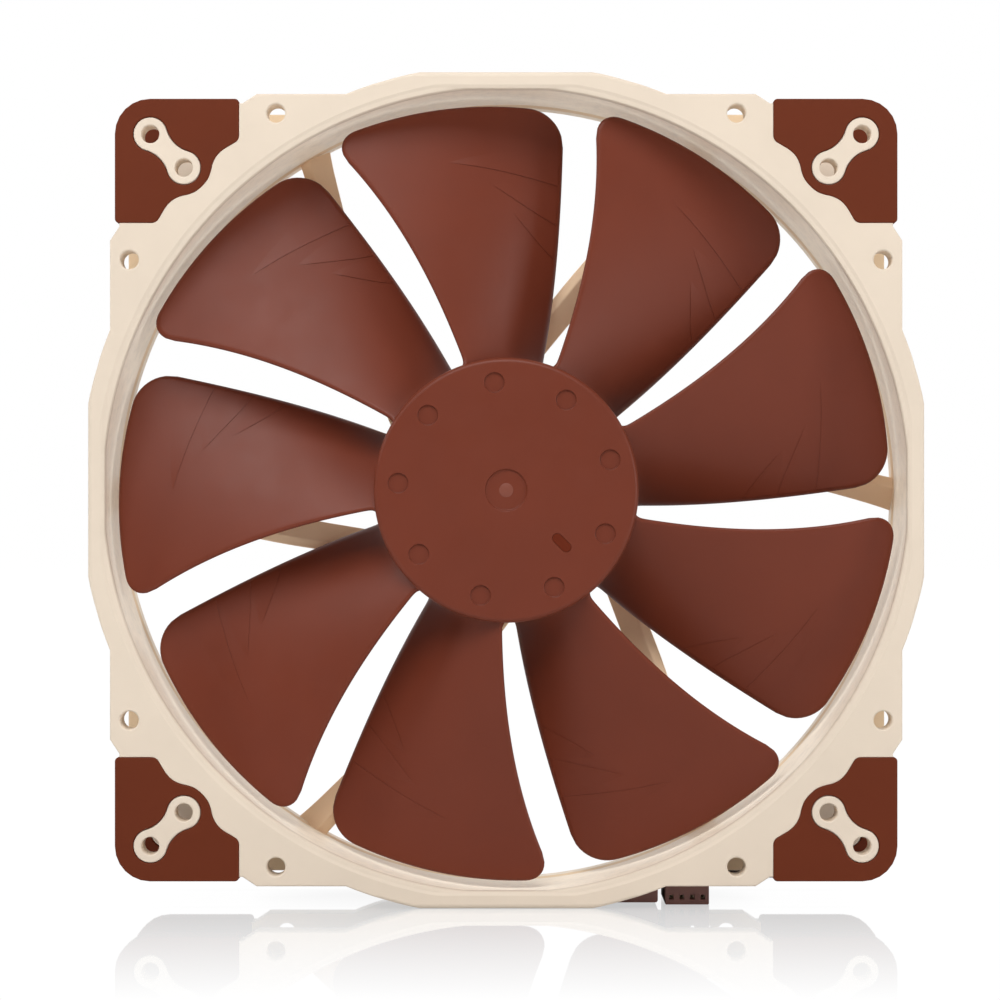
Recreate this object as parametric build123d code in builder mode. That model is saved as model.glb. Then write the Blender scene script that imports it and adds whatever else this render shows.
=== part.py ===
from build123d import *
import os
from math import atan2, cos, degrees, hypot, pi, radians, sin, tan

# Axial case fan, 200 x 200 x 30 mm, standing on the flat at the bottom of its ring.
# X runs to the right, Y runs from the intake face to the outlet face, Z is up.
# The origin is the middle of the footprint. The fan axis is level, along Y.
# "Depth" is the distance behind the intake face, so Y = depth - thickness / 2.

# ---- driving dimensions (mm) ----------------------------------------------
width = 200.0
thickness = 30.0
axis_height = width / 2

ring_radius = 102.1
flange = 5.5
flange_half = 94.65
corner_half = 92.4
corner_radius = 7.5
corner_start = 63.0
corner_step = 3.4
tube_radius = 98.3
ledge_half = 96.9
ledge_drop = 0.5
lip_radius = 96.3
lip_half = 95.8
lip_depth = 2.0
duct_radius = 96.5
duct_radius_rear = 96.8
edge_round = 0.4

mount_wide = 90.0
mount_narrow = 55.0
mount_hole_radius = 2.2
corner_hole_outer = 85.0
corner_hole_inner = 77.0
corner_hole_radius = 2.15
boss_radius = 4.0
boss_waist_half = 2.5

pad_skin = 1.0
pad_start = 63.8
pad_half = 93.45
pad_corner_radius = 8.4
pad_end_round = 1.0
pad_notch_round = 2.0
pad_gap = 0.05

blade_count = 9
blade_pitch_angle = 360 / blade_count
hub_radius = 31.75
hub_front = 0.5
hub_rear = 22.5
hub_wall = 1.6
hub_round = 1.6
tip_radius = 94.6
tip_round_leading = 6.8
tip_round_trailing = 8.4
tip_leading_radius = 94.4
tip_trailing_radius = 94.8
blade_stack_angle = 55.2
chord_margin = 2.0
root_radius = 31.0
root_leading_depth, root_trailing_depth = 3.0, 20.5
tip_leading_depth, tip_trailing_depth = 6.5, 18.0
root_camber, tip_camber = 0.35, 0.1
root_thickness, tip_thickness = 2.8, 1.7
section_reaches = [29.0, 42.0, 58.0, 75.0, 97.0]
section_shares = [0.0, 0.2, 0.4, 0.6, 0.8, 1.0]
edge_reaches = [29.0, 40.0, 55.0, 70.0, 85.0]

strut_count = 6
strut_front = 24.3
base_radius = 31.0
base_front = 23.5
base_floor = 27.5
base_wall = 1.6
base_round = 0.8
board_ledge_radius = 27.0
label_radius = 25.0
label_recess = 0.4
label_thickness = 0.2
label_gap = 0.3

bearing_tube_radius = 6.8
bearing_tube_bore = 5.2
bearing_tube_front = 7.8
bearing_tube_rear = 27.0
end_cap_front, end_cap_step, end_cap_rear, end_cap_face_radius = 27.3, 28.8, 29.3, 4.6
sleeve_front, seal_front, seal_rear, seal_gap, clip_gap = 9.0, 8.2, 8.9, 0.25, 0.4
shaft_radius = 1.5
shaft_front, shaft_rear, shaft_chamfer = 2.15, 26.8, 0.4
running_clearance = 0.03
assembly_gap = 0.05

clip_front, clip_rear, clip_groove_radius, clip_radius = 25.4, 26.1, 1.1, 2.9
shell_front, shell_bore = 8.0, 3.6
bush_radius = 4.5
bush_rear = 6.0
thrust_magnet_rear = 7.4
centre_recess_radius, centre_recess = 5.0, 0.35
centre_dot_radius = 1.7
mark_radius, mark_circle, mark_depth, mark_angle = 2.4, 25.9, 0.2, 16.3
collar_wall = 1.4
hub_rib_count, hub_rib_width, hub_rib_rear = 9, 1.2, 14.0

yoke_radius, yoke_wall, yoke_front, yoke_rear = 23.4, 1.1, 2.4, 20.6
magnet_bore, magnet_front, magnet_rear = 20.1, 5.0, 20.2
stator_radius = 19.6
stator_front, stator_rear = 8.5, 18.5
stator_core_radius = 9.5
pole_count = 4
pole_width = 5.0
pole_shoe_inner = 17.2
pole_slot = 3.0
insulator_thickness = 1.2
insulator_lip = 0.5
insulator_shoe = 1.4
coil_wall = 2.2
coil_inner, coil_outer, coil_gap = 10.1, 15.6, 0.1
board_front, board_rear = 24.2, 25.4
board_radius, board_bore = 29.0, 7.4
chip_place, chip_size, chip_round, chip_height = (-14.0, -8.0), (4.9, 3.9), 0.3, 1.5
hall_sensor_size, hall_sensor_height = (3.0, 1.6), 1.6
capacitor_places = [(-6.0, 17.0), (6.0, 19.0), (15.0, 11.0), (-18.5, 4.0)]
capacitor_size, capacitor_height = (3.2, 1.8), 1.6

wire_radius = 0.5
wire_spacing = 1.1
channel_width, channel_depth = 3.0, 2.6
wire_hole_length = 2.4
window_centre = (48.8, -88.9)
window_width, window_height = 5.2, 5.4
lead_radius = 2.0
lead_x, lead_height = 33.0, 2.05
notch_width, notch_height = 7.4, 6.6
grommet_left, grommet_right = 24.0, 36.6
grommet_bottom, grommet_height, grommet_round, grommet_gap = 0.6, 10.0, 0.6, 0.1
entry_inset, entry_width, entry_height, entry_depth, entry_half_length = 0.6, 1.4, 2.6, 16.3, 2.6
nose_height, nose_radius, nose_tip_radius, nose_rear, nose_overlap = 3.0, 3.0, 2.4, 36.0, 0.5
connector_left, connector_right = 38.4, 49.0
connector_front, connector_rear = 6.0, 20.0
connector_height, key_height = 5.1, 0.7
narrow_key_width, wide_key_width = 1.3, 3.4
contact_pitch, contact_height = 2.54, 1.8
socket_mouth, socket_mouth_depth, socket_width, socket_floor = 1.0, 1.2, 1.5, 2.0
contact_wall, contact_bore, contact_inset, contact_length = 0.05, 0.7, 1.6, 9.6
shrink_radius, shrink_rear = 2.4, 29.0

# ---- planes and axes -------------------------------------------------------
front_y = -thickness / 2
fan_plane = Plane(origin=(0, front_y, axis_height), x_dir=(1, 0, 0), z_dir=(0, -1, 0))
profile_plane = Plane(origin=(0, front_y, axis_height), x_dir=(1, 0, 0), z_dir=(0, 0, 1))
fan_axis = Axis((0, front_y, axis_height), (0, 1, 0))


def at_depth(depth):
    """Plane that faces the intake side, this far behind the intake face."""
    return fan_plane.offset(-depth)


def fan_point(x, y, depth):
    """Point from its place across the face and its depth."""
    return (x, front_y + depth, axis_height + y)


def on_circle(radius, angle):
    return (radius * cos(radians(angle)), radius * sin(radians(angle)))


def write(piece, name):
    piece.part.label = name
    export_step(piece.part, f"parts/{name}.step")


def turned(outline):
    """Solid of revolution about the fan axis from a closed (radius, depth) outline."""
    with BuildPart() as piece:
        with BuildSketch(profile_plane):
            with BuildLine():
                Polyline(*outline, close=True)
            make_face()
        revolve(axis=fan_axis)
    return piece


def washer(inner, outer, front, rear):
    return turned([(inner, front), (outer, front), (outer, rear), (inner, rear)])


os.makedirs("parts", exist_ok=True)

# ---- outlines shared by the frame and its pads -----------------------------
flange_corner = [
    (flange_half, corner_start - corner_step),
    (corner_half, corner_start),
    (corner_half, corner_half),
    (corner_start, corner_half),
    (corner_start - corner_step, flange_half),
]
quarter_signs = [(1, 1), (-1, 1), (-1, -1), (1, -1)]
flange_outline = []
for sign_x, sign_y in quarter_signs:
    quarter = [(sign_x * x, sign_y * y) for x, y in flange_corner]
    if sign_x * sign_y < 0:
        quarter.reverse()
    flange_outline += quarter

with BuildSketch() as flange_face:
    with BuildLine():
        Polyline(*flange_outline, close=True)
    make_face()
    corners = [
        vertex
        for vertex in flange_face.vertices()
        if abs(abs(vertex.X) - corner_half) < 0.01 and abs(abs(vertex.Y) - corner_half) < 0.01
    ]
    fillet(corners, corner_radius)
    with BuildSketch(mode=Mode.PRIVATE) as ring_face:
        Circle(ring_radius)
        Rectangle(width, width, mode=Mode.INTERSECT)
    add(ring_face.sketch)

# A boss round both corner holes: two round ends and a waist that runs into them.
outer_centre = Vector(corner_hole_outer, corner_hole_outer)
inner_centre = Vector(corner_hole_inner, corner_hole_inner)
boss_middle = (outer_centre + inner_centre) / 2
half_span = (outer_centre - inner_centre).length / 2
along = (outer_centre - inner_centre).normalized()
across = Vector(-along.Y, along.X)
waist_radius = (half_span**2 + boss_waist_half**2 - boss_radius**2) / (2 * (boss_radius - boss_waist_half))
waist_offset = boss_waist_half + waist_radius
tangent_share = boss_radius / (boss_radius + waist_radius)
tangent_along = half_span * (1 - tangent_share)
tangent_across = waist_offset * tangent_share
with BuildSketch() as dog_bone:
    with BuildLine():
        for side in (1, -1):
            ThreePointArc(
                boss_middle - along * tangent_along + across * tangent_across * side,
                boss_middle + across * boss_waist_half * side,
                boss_middle + along * tangent_along + across * tangent_across * side,
            )
        for end in (1, -1):
            ThreePointArc(
                boss_middle + along * tangent_along * end + across * tangent_across,
                boss_middle + along * (half_span + boss_radius) * end,
                boss_middle + along * tangent_along * end - across * tangent_across,
            )
    make_face()

# The pad hugs the corner: straight ends, then a scalloped edge round the inner hole.
half_scallop = [
    (65.6, 82.5),
    (67.7, 81.2),
    (69.2, 79.7),
    (70.1, 77.9),
    (70.6, 75.9),
    (71.3, 74.2),
    (72.6, 72.6),
]
notch_reach = 83.55
scallop = half_scallop + [(y, x) for x, y in reversed(half_scallop[:-1])]
with BuildSketch() as pad_face:
    with BuildLine():
        Polyline(
            scallop[-1],
            (notch_reach, pad_start),
            (pad_half, pad_start),
            (pad_half, pad_half),
            (pad_start, pad_half),
            (pad_start, notch_reach),
            scallop[0],
        )
        Spline(*scallop)
    make_face()
    for place, rounding in (
        ((pad_half, pad_half), pad_corner_radius),
        ((pad_half, pad_start), pad_end_round),
        ((pad_start, pad_half), pad_end_round),
        ((notch_reach, pad_start), pad_notch_round),
        ((pad_start, notch_reach), pad_notch_round),
    ):
        fillet(pad_face.vertices().sort_by_distance((*place, 0))[0], rounding)

# ---- frame -----------------------------------------------------------------
# One moulding: two flanges, the duct tube, six struts, the motor base and its bearing tube.
strut_stations = [
    # distance from the axis along the strut, lower edge, upper edge, across it
    (27.5, 10.2, 16.9),
    (35.0, 9.2, 15.9),
    (55.0, 5.8, 13.0),
    (75.0, 1.8, 8.8),
    (90.0, -2.2, 5.2),
    (97.6, -4.7, 3.5),
]
strut_ridge_share, strut_low_edge, strut_high_drop = 0.68, 1.6, 0.6
wire_strut_angle = -60.0
wire_hole = (23.7, 14.2)
strut_middle = [wire_hole] + [(x, (low + high) / 2) for x, low, high in strut_stations[1:]]
wire_route = strut_middle + [(101.6, -1.9)]
wire_hole_place = tuple(Vector(*wire_hole).rotate(Axis.Z, wire_strut_angle))[:2]

with BuildSketch() as channel_face:
    with BuildLine():
        Polyline(*wire_route)
    trace(line_width=channel_width)

with BuildPart() as strut:
    for x, low, high in strut_stations:
        with BuildSketch(Plane(origin=(x, 0, 0), x_dir=(0, 1, 0), z_dir=(1, 0, 0))):
            with BuildLine():
                ridge = low + (high - low) * strut_ridge_share
                Polyline(
                    (low, -thickness),
                    (low, -thickness + strut_low_edge),
                    (ridge, -strut_front),
                    (high, -strut_front - strut_high_drop),
                    (high, -thickness),
                    close=True,
                )
            make_face()
    loft()

with BuildPart(fan_plane) as frame:
    for depth in (0, thickness - flange):
        with BuildSketch(at_depth(depth)):
            add(flange_face.sketch)
        extrude(amount=-flange)
    for face_y in (front_y, -front_y):
        fillet(frame.edges().filter_by_position(Axis.Y, face_y - 0.01, face_y + 0.01), edge_round)
    with BuildSketch(at_depth(0)):
        Circle(tube_radius)
    extrude(amount=-thickness)
    for face_depth, inwards in ((0, -ledge_drop), (thickness, ledge_drop)):
        with BuildSketch(at_depth(face_depth)):
            Circle(tube_radius)
            Rectangle(2 * ledge_half, 2 * ledge_half, mode=Mode.INTERSECT)
        extrude(amount=inwards, mode=Mode.SUBTRACT)
    with BuildSketch(at_depth(0)):
        Circle(lip_radius)
        Rectangle(2 * lip_half, 2 * lip_half, mode=Mode.INTERSECT)
    extrude(amount=-lip_depth, mode=Mode.SUBTRACT)
    with BuildSketch(profile_plane):
        with BuildLine():
            Polyline(
                (0, lip_depth),
                (duct_radius, lip_depth),
                (duct_radius_rear, thickness),
                (0, thickness),
                close=True,
            )
        make_face()
    revolve(axis=fan_axis, mode=Mode.SUBTRACT)

    # Motor base: a shallow cup with a ledge for the circuit board and a label recess.
    with BuildSketch(profile_plane):
        with BuildLine():
            Polyline(
                (bearing_tube_bore, bearing_tube_front),
                (bearing_tube_radius, bearing_tube_front),
                (bearing_tube_radius, base_floor),
                (board_ledge_radius, base_floor),
                (board_ledge_radius, board_rear + assembly_gap),
                (base_radius - base_wall, board_rear + assembly_gap),
                (base_radius - base_wall, base_front),
                (base_radius, base_front),
                (base_radius, thickness - base_round),
                (base_radius - base_round, thickness),
                (label_radius + label_gap, thickness),
                (label_radius + label_gap, thickness - label_recess),
                (bearing_tube_bore, thickness - label_recess),
                close=True,
            )
        make_face()
    revolve(axis=fan_axis)

    with PolarLocations(0, strut_count):
        add(strut.part)

    # Screw holes: the outer pattern on all four sides and two rings of corner holes.
    for depth in (0, thickness - flange):
        with BuildSketch(at_depth(depth)):
            with GridLocations(2 * mount_wide, 2 * mount_narrow, 2, 2):
                Circle(mount_hole_radius)
            with GridLocations(2 * mount_narrow, 2 * mount_wide, 2, 2):
                Circle(mount_hole_radius)
            for reach in (corner_hole_outer, corner_hole_inner):
                with GridLocations(2 * reach, 2 * reach, 2, 2):
                    Circle(corner_hole_radius)
        extrude(amount=-flange, mode=Mode.SUBTRACT)

    # Corner recesses that the pads' skins lie in, leaving the dog-bone bosses standing.
    for depth in (0, flange - pad_skin, thickness - flange, thickness - pad_skin):
        with BuildSketch(at_depth(depth)):
            for turn in range(4):
                add(pad_face.sketch, rotation=90 * turn)
            for turn in range(4):
                add(dog_bone.sketch, rotation=90 * turn, mode=Mode.SUBTRACT)
        extrude(amount=-pad_skin, mode=Mode.SUBTRACT)

    # Wire channel along the rear of one strut, the window it opens into, the hole that
    # the wires leave the base by, and the notch that the lead leaves the frame by.
    with BuildSketch(at_depth(thickness)):
        add(channel_face.sketch, rotation=wire_strut_angle)
    extrude(amount=channel_depth, mode=Mode.SUBTRACT)
    with BuildSketch(at_depth(thickness)):
        with Locations(window_centre):
            Rectangle(window_width, window_height)
        with Locations(Location((*wire_hole_place, 0), wire_strut_angle)):
            SlotCenterToCenter(wire_hole_length, channel_width)
        with Locations((lead_x, -axis_height)):
            Rectangle(notch_width, 2 * notch_height)
    extrude(amount=flange, mode=Mode.SUBTRACT)

    # Softened mouths of the screw holes on the two outer faces.
    for face_y in (front_y, -front_y):
        rims = frame.edges().filter_by_position(Axis.Y, face_y - 0.01, face_y + 0.01)
        holes = rims.filter_by(GeomType.CIRCLE).filter_by(
            lambda rim: rim.radius in (mount_hole_radius, corner_hole_radius)
        )
        fillet(holes, edge_round)

write(frame, "frame")

# ---- corner pads -----------------------------------------------------------
# Each soft pad wraps round the outer face, the edge and the inner face of one flange corner.
corner_names = ["top_right", "top_left", "bottom_left", "bottom_right"]
for side_name, side_depth in (("front", 0.0), ("rear", thickness - flange)):
    for turn, corner_name in enumerate(corner_names):
        with BuildPart() as pad:
            with BuildSketch(at_depth(side_depth)):
                add(pad_face.sketch, rotation=90 * turn)
            extrude(amount=-flange)
            with BuildSketch(at_depth(side_depth + pad_skin)):
                add(flange_face.sketch)
            extrude(amount=-(flange - 2 * pad_skin), mode=Mode.SUBTRACT)
            with BuildSketch(at_depth(side_depth)):
                add(dog_bone.sketch, rotation=90 * turn)
                offset(amount=pad_gap)
            extrude(amount=-flange, mode=Mode.SUBTRACT)
        write(pad, f"pad_{side_name}_{corner_name}")

# ---- impeller --------------------------------------------------------------


def leading_angle(radius):
    """Angle of the leading edge at this radius, in degrees anticlockwise from +X."""
    outward = radius - 33
    return 68.3 + 0.0735 * outward + 0.00112 * outward**2


def trailing_angle(radius):
    outward = radius - 33
    return 34.1 + 0.155 * outward - 0.0006 * outward**2


def blend_radius(radius, at_root, at_tip):
    """Value that changes evenly from the root to the tip."""
    share = (radius - root_radius) / (tip_radius - root_radius)
    return at_root + (at_tip - at_root) * share


def blade_depth(radius, angle):
    """Depth of the blade's middle surface: steeper towards the trailing edge."""
    trailing = trailing_angle(radius)
    chord_share = (angle - trailing) / (leading_angle(radius) - trailing)
    camber = blend_radius(radius, root_camber, tip_camber)
    rise = chord_share + camber * chord_share * (1 - chord_share)
    leading = blend_radius(radius, root_leading_depth, tip_leading_depth)
    back = blend_radius(radius, root_trailing_depth, tip_trailing_depth)
    return back + (leading - back) * rise


def blade_point(reach, chord_share, side):
    """Point of a blade section on the flat plane at this reach along the blade."""
    low = tan(radians(trailing_angle(reach) - blade_stack_angle - chord_margin))
    high = tan(radians(leading_angle(reach) - blade_stack_angle + chord_margin))
    sideways = reach * (low + (high - low) * chord_share)
    angle = blade_stack_angle + degrees(atan2(sideways, reach))
    half_thick = blend_radius(reach, root_thickness, tip_thickness) / 2
    return (sideways, -blade_depth(hypot(reach, sideways), angle) + side * half_thick)


def edge_points(angle_of, reaches):
    return [on_circle(radius, angle_of(radius) - blade_stack_angle) for radius in reaches]


# The outline seen from the front: curved edges and two rounded tip corners.
with BuildSketch() as blade_outline:
    with BuildLine():
        leading = edge_points(leading_angle, edge_reaches + [tip_leading_radius])
        trailing = edge_points(trailing_angle, edge_reaches + [tip_trailing_radius])
        Spline(*leading)
        ThreePointArc(leading[-1], (tip_radius, 0), trailing[-1])
        Spline(*reversed(trailing))
        Line(trailing[0], leading[0])
    make_face()
    tips = blade_outline.vertices().filter_by(lambda corner: corner.X > tip_radius / 2)
    fillet(tips.sort_by(Axis.Y)[0], tip_round_trailing)
    tips = blade_outline.vertices().filter_by(lambda corner: corner.X > tip_radius / 2)
    fillet(tips.sort_by(Axis.Y)[-1], tip_round_leading)

with BuildPart() as blade:
    for reach in section_reaches:
        with BuildSketch(Plane(origin=(reach, 0, 0), x_dir=(0, 1, 0), z_dir=(1, 0, 0))):
            with BuildLine():
                front_line = [blade_point(reach, share, 1) for share in section_shares]
                rear_line = [blade_point(reach, share, -1) for share in section_shares]
                Spline(*front_line)
                Line(front_line[-1], rear_line[-1])
                Spline(*reversed(rear_line))
                Line(rear_line[0], front_line[0])
            make_face()
    loft()
    with BuildSketch():
        add(blade_outline.sketch)
    extrude(amount=-thickness, mode=Mode.INTERSECT)
    with BuildSketch():
        Circle(root_radius)
    extrude(amount=-thickness, mode=Mode.SUBTRACT)

with BuildPart(fan_plane) as impeller:
    collar_inner = yoke_radius + assembly_gap
    collar_outer = collar_inner + collar_wall
    hub_back = hub_front + hub_wall
    with BuildSketch(profile_plane) as hub_profile:
        with BuildLine():
            Polyline(
                (0, hub_front + centre_recess),
                (centre_recess_radius, hub_front + centre_recess),
                (centre_recess_radius, hub_front),
                (hub_radius, hub_front),
                (hub_radius, hub_rear),
                (hub_radius - hub_wall, hub_rear),
                (hub_radius - hub_wall, hub_back),
                (collar_outer, hub_back),
                (collar_outer, yoke_rear),
                (collar_inner, yoke_rear),
                (collar_inner, hub_back),
                (0, hub_back),
                close=True,
            )
        make_face()
        rim = hub_profile.vertices().filter_by(lambda corner: corner.Y < hub_front + 0.01)
        fillet(rim.sort_by(Axis.X)[-1], hub_round)
    revolve(axis=fan_axis)
    with BuildSketch(at_depth(hub_front)):
        Circle(centre_dot_radius)
    extrude(amount=-centre_recess)
    with BuildSketch(at_depth(hub_front)):
        with PolarLocations(mark_circle, blade_count, mark_angle):
            Circle(mark_radius)
    extrude(amount=-mark_depth, mode=Mode.SUBTRACT)
    with BuildSketch(at_depth(hub_back)):
        with PolarLocations((hub_radius - hub_wall + collar_outer) / 2, hub_rib_count):
            Rectangle(hub_radius - hub_wall - collar_outer + 1, hub_rib_width)
    extrude(amount=-(hub_rib_rear - hub_back))
    with PolarLocations(0, blade_count, blade_stack_angle):
        add(blade.part)

write(impeller, "impeller")

# ---- rotor: shaft, bush, steel cup, magnets --------------------------------
write(washer(shaft_radius, bush_radius, shaft_front, bush_rear), "shaft_bush")
write(
    washer(
        shaft_radius + assembly_gap, bush_radius - 2 * assembly_gap,
        bush_rear + assembly_gap, thrust_magnet_rear,
    ),
    "thrust_magnet",
)
write(
    turned(
        [
            (0, shaft_front),
            (shaft_radius, shaft_front),
            (shaft_radius, clip_front),
            (clip_groove_radius, clip_front),
            (clip_groove_radius, clip_rear),
            (shaft_radius, clip_rear),
            (shaft_radius, shaft_rear - shaft_chamfer),
            (shaft_radius - shaft_chamfer, shaft_rear),
            (0, shaft_rear),
        ]
    ),
    "shaft",
)
write(
    washer(
        clip_groove_radius + running_clearance, clip_radius,
        clip_front + assembly_gap, clip_rear - assembly_gap,
    ),
    "retaining_clip",
)
write(
    turned(
        [
            (bush_radius + assembly_gap, yoke_front),
            (yoke_radius, yoke_front),
            (yoke_radius, yoke_rear),
            (yoke_radius - yoke_wall, yoke_rear),
            (yoke_radius - yoke_wall, yoke_front + yoke_wall),
            (bush_radius + assembly_gap, yoke_front + yoke_wall),
        ]
    ),
    "rotor_yoke",
)
write(
    washer(magnet_bore, yoke_radius - yoke_wall - assembly_gap, magnet_front, magnet_rear),
    "magnet_ring",
)

# ---- bearing ---------------------------------------------------------------
shell_radius = bearing_tube_bore - assembly_gap
write(washer(shell_bore, shell_radius, shell_front, bearing_tube_rear), "bearing_shell")
write(
    washer(
        shaft_radius + running_clearance, shell_bore - assembly_gap,
        sleeve_front, clip_front - clip_gap,
    ),
    "bearing_sleeve",
)
write(
    washer(shaft_radius + seal_gap, shell_bore - assembly_gap, seal_front, seal_rear), "oil_seal"
)
write(
    turned(
        [
            (0, end_cap_front),
            (shell_radius, end_cap_front),
            (shell_radius, end_cap_step),
            (end_cap_face_radius, end_cap_rear),
            (0, end_cap_rear),
        ]
    ),
    "bearing_end_cap",
)

# ---- stator ----------------------------------------------------------------


def pole_frame(front, rear, arm_width, shoe_inner, shoe_outer):
    """Ring with four arms that end in curved shoes."""
    with BuildPart() as piece:
        with BuildSketch(at_depth(front)):
            Circle(shoe_outer)
            Circle(shoe_inner, mode=Mode.SUBTRACT)
            with PolarLocations(0, pole_count, 180 / pole_count):
                with Locations((shoe_outer / 2 + shoe_inner / 2, 0)):
                    Rectangle(2 * (shoe_outer - shoe_inner), pole_slot, mode=Mode.SUBTRACT)
            with PolarLocations((shoe_inner + stator_core_radius) / 2, pole_count):
                Rectangle(shoe_inner - stator_core_radius + 2, arm_width)
            Circle(stator_core_radius)
            Circle(bearing_tube_radius + assembly_gap, mode=Mode.SUBTRACT)
        extrude(amount=-(rear - front))
    return piece


write(pole_frame(stator_front, stator_rear, pole_width, pole_shoe_inner, stator_radius), "stator_core")
insulator_arm = pole_width + 2 * insulator_lip
insulator_outer = pole_shoe_inner + insulator_shoe
write(
    pole_frame(
        stator_front - insulator_thickness, stator_front,
        insulator_arm, pole_shoe_inner, insulator_outer,
    ),
    "insulator_front",
)
write(
    pole_frame(
        stator_rear, stator_rear + insulator_thickness,
        insulator_arm, pole_shoe_inner, insulator_outer,
    ),
    "insulator_rear",
)

with BuildPart(fan_plane) as stator_coils:
    coil_front = stator_front - insulator_thickness - coil_gap
    coil_rear = stator_rear + insulator_thickness + coil_gap
    coil_middle = (coil_front + coil_rear) / 2
    coil_bore_height = coil_rear - coil_front
    coil_bore_width = insulator_arm + 2 * coil_gap
    coil_plane = Plane(origin=(coil_inner, 0, -coil_middle), x_dir=(0, 1, 0), z_dir=(1, 0, 0))
    with BuildPart(coil_plane, mode=Mode.PRIVATE) as coil:
        with BuildSketch(coil_plane):
            RectangleRounded(
                coil_bore_width + 2 * coil_wall, coil_bore_height + 2 * coil_wall, coil_wall
            )
            Rectangle(coil_bore_width, coil_bore_height, mode=Mode.SUBTRACT)
        extrude(amount=coil_outer - coil_inner)
    with PolarLocations(0, pole_count):
        add(coil.part)

write(stator_coils, "stator_coils")

# ---- circuit board and what is soldered to it ------------------------------
with BuildPart() as circuit_board:
    with BuildSketch(at_depth(board_front)):
        Circle(board_radius)
        Circle(board_bore, mode=Mode.SUBTRACT)
        with Locations(wire_hole_place):
            Circle(channel_width / 2, mode=Mode.SUBTRACT)
    extrude(amount=-(board_rear - board_front))

write(circuit_board, "circuit_board")

with BuildPart() as driver_chip:
    with BuildSketch(at_depth(board_rear)):
        with Locations(chip_place):
            RectangleRounded(*chip_size, chip_round)
    extrude(amount=-chip_height)
write(driver_chip, "driver_chip")

with BuildPart() as hall_sensor:
    with BuildSketch(at_depth(board_front)):
        with Locations(on_circle(magnet_bore + 1.0, 45)):
            Rectangle(*hall_sensor_size)
    extrude(amount=hall_sensor_height)
write(hall_sensor, "hall_sensor")

with BuildPart() as board_capacitors:
    with BuildSketch(at_depth(board_rear)):
        with Locations(*capacitor_places):
            Rectangle(*capacitor_size)
    extrude(amount=-capacitor_height)
write(board_capacitors, "board_capacitors")

label_front = thickness - label_recess
write(washer(0, label_radius, label_front, label_front + label_thickness), "rear_label")

# ---- wires, lead and connector ---------------------------------------------


def turned_strut_point(x, y, depth):
    place = Vector(x, y).rotate(Axis.Z, wire_strut_angle)
    return fan_point(place.X, place.Y, depth)


grommet_front, grommet_rear = flange + grommet_gap, thickness - flange - grommet_gap
wire_entry = (grommet_right - entry_inset, -93.2)
wire_depth = 28.75
wire_points = (
    [turned_strut_point(*wire_hole, board_rear)]
    + [turned_strut_point(x, y, wire_depth) for x, y in wire_route]
    + [turned_strut_point(*wire_route[-1], 17.0), fan_point(*wire_entry, 16.0)]
)
with BuildPart() as motor_wires:
    with BuildLine():
        FilletPolyline(*wire_points, radius=1.6)
    with BuildSketch(Plane(origin=wire_points[0], z_dir=(0, 1, 0))):
        with GridLocations(wire_spacing, wire_spacing, 2, 2):
            Circle(wire_radius)
    sweep()
write(motor_wires, "motor_wires")

grommet_centre = (
    (grommet_left + grommet_right) / 2,
    -axis_height + grommet_bottom + grommet_height / 2,
)
nose_base = (lead_x, -axis_height + nose_height)
with BuildPart() as cable_grommet:
    with BuildSketch(at_depth(grommet_front)) as grommet_face:
        with Locations(grommet_centre):
            Rectangle(grommet_right - grommet_left, grommet_height)
        fillet(grommet_face.vertices(), grommet_round)
        Circle(tube_radius + grommet_gap, mode=Mode.SUBTRACT)
    extrude(amount=-(grommet_rear - grommet_front))
    with BuildSketch(at_depth(grommet_rear - nose_overlap)):
        with Locations(nose_base):
            Circle(nose_radius)
    with BuildSketch(at_depth(nose_rear)):
        with Locations(nose_base):
            Circle(nose_tip_radius)
    loft()
    with BuildSketch(at_depth(entry_depth)):
        with Locations(wire_entry):
            Rectangle(entry_width, entry_height)
    extrude(amount=-entry_half_length, both=True, mode=Mode.SUBTRACT)
write(cable_grommet, "cable_grommet")

connector_middle = (connector_left + connector_right) / 2
lead_route = [
    (lead_x, front_y + nose_rear, nose_height),
    (33.2, 30.0, lead_height),
    (35.0, 40.0, lead_height),
    (41.0, 51.0, lead_height),
    (52.0, 58.5, lead_height),
    (67.0, 61.0, lead_height),
    (82.0, 60.0, lead_height),
    (93.0, 54.5, lead_height),
    (96.8, 45.3, lead_height),
    (92.3, 36.3, lead_height),
    (82.0, 31.8, lead_height),
    (70.0, 31.3, lead_height),
    (58.0, 32.3, lead_height),
    (49.0, 29.3, lead_height),
    (44.3, 22.0, lead_height),
    (connector_middle, front_y + shrink_rear, shrink_radius),
]


def bend_radii(route):
    """Largest tangent arc at each inner point that leaves a tenth of each run straight."""
    radii = []
    for before, here, after in zip(route, route[1:], route[2:]):
        run_in = Vector(*here) - Vector(*before)
        run_out = Vector(*after) - Vector(*here)
        half_turn = radians(run_in.get_angle(run_out)) / 2
        radii.append(0.45 * min(run_in.length, run_out.length) / tan(half_turn))
    return radii


lead_radii = bend_radii(lead_route)
with BuildPart() as lead:
    with BuildLine() as lead_line:
        FilletPolyline(*lead_route, radius=lead_radii)
    with BuildSketch(lead_line.line ^ 0):
        Circle(lead_radius)
    sweep()
write(lead, "lead")
lead_length = sum(edge.length for edge in lead_line.edges())
print("lead length", round(lead_length, 1), "bend radii", [round(r, 1) for r in lead_radii])
print("lead volume share", lead.part.volume / (pi * lead_radius**2 * lead_length))

with BuildPart() as lead_heatshrink:
    shrink_place = (connector_middle, -axis_height + shrink_radius)
    with BuildSketch(at_depth(connector_rear)):
        with Locations(shrink_place):
            Circle(shrink_radius)
    extrude(amount=-(shrink_rear - connector_rear))
write(lead_heatshrink, "lead_heatshrink")

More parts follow.
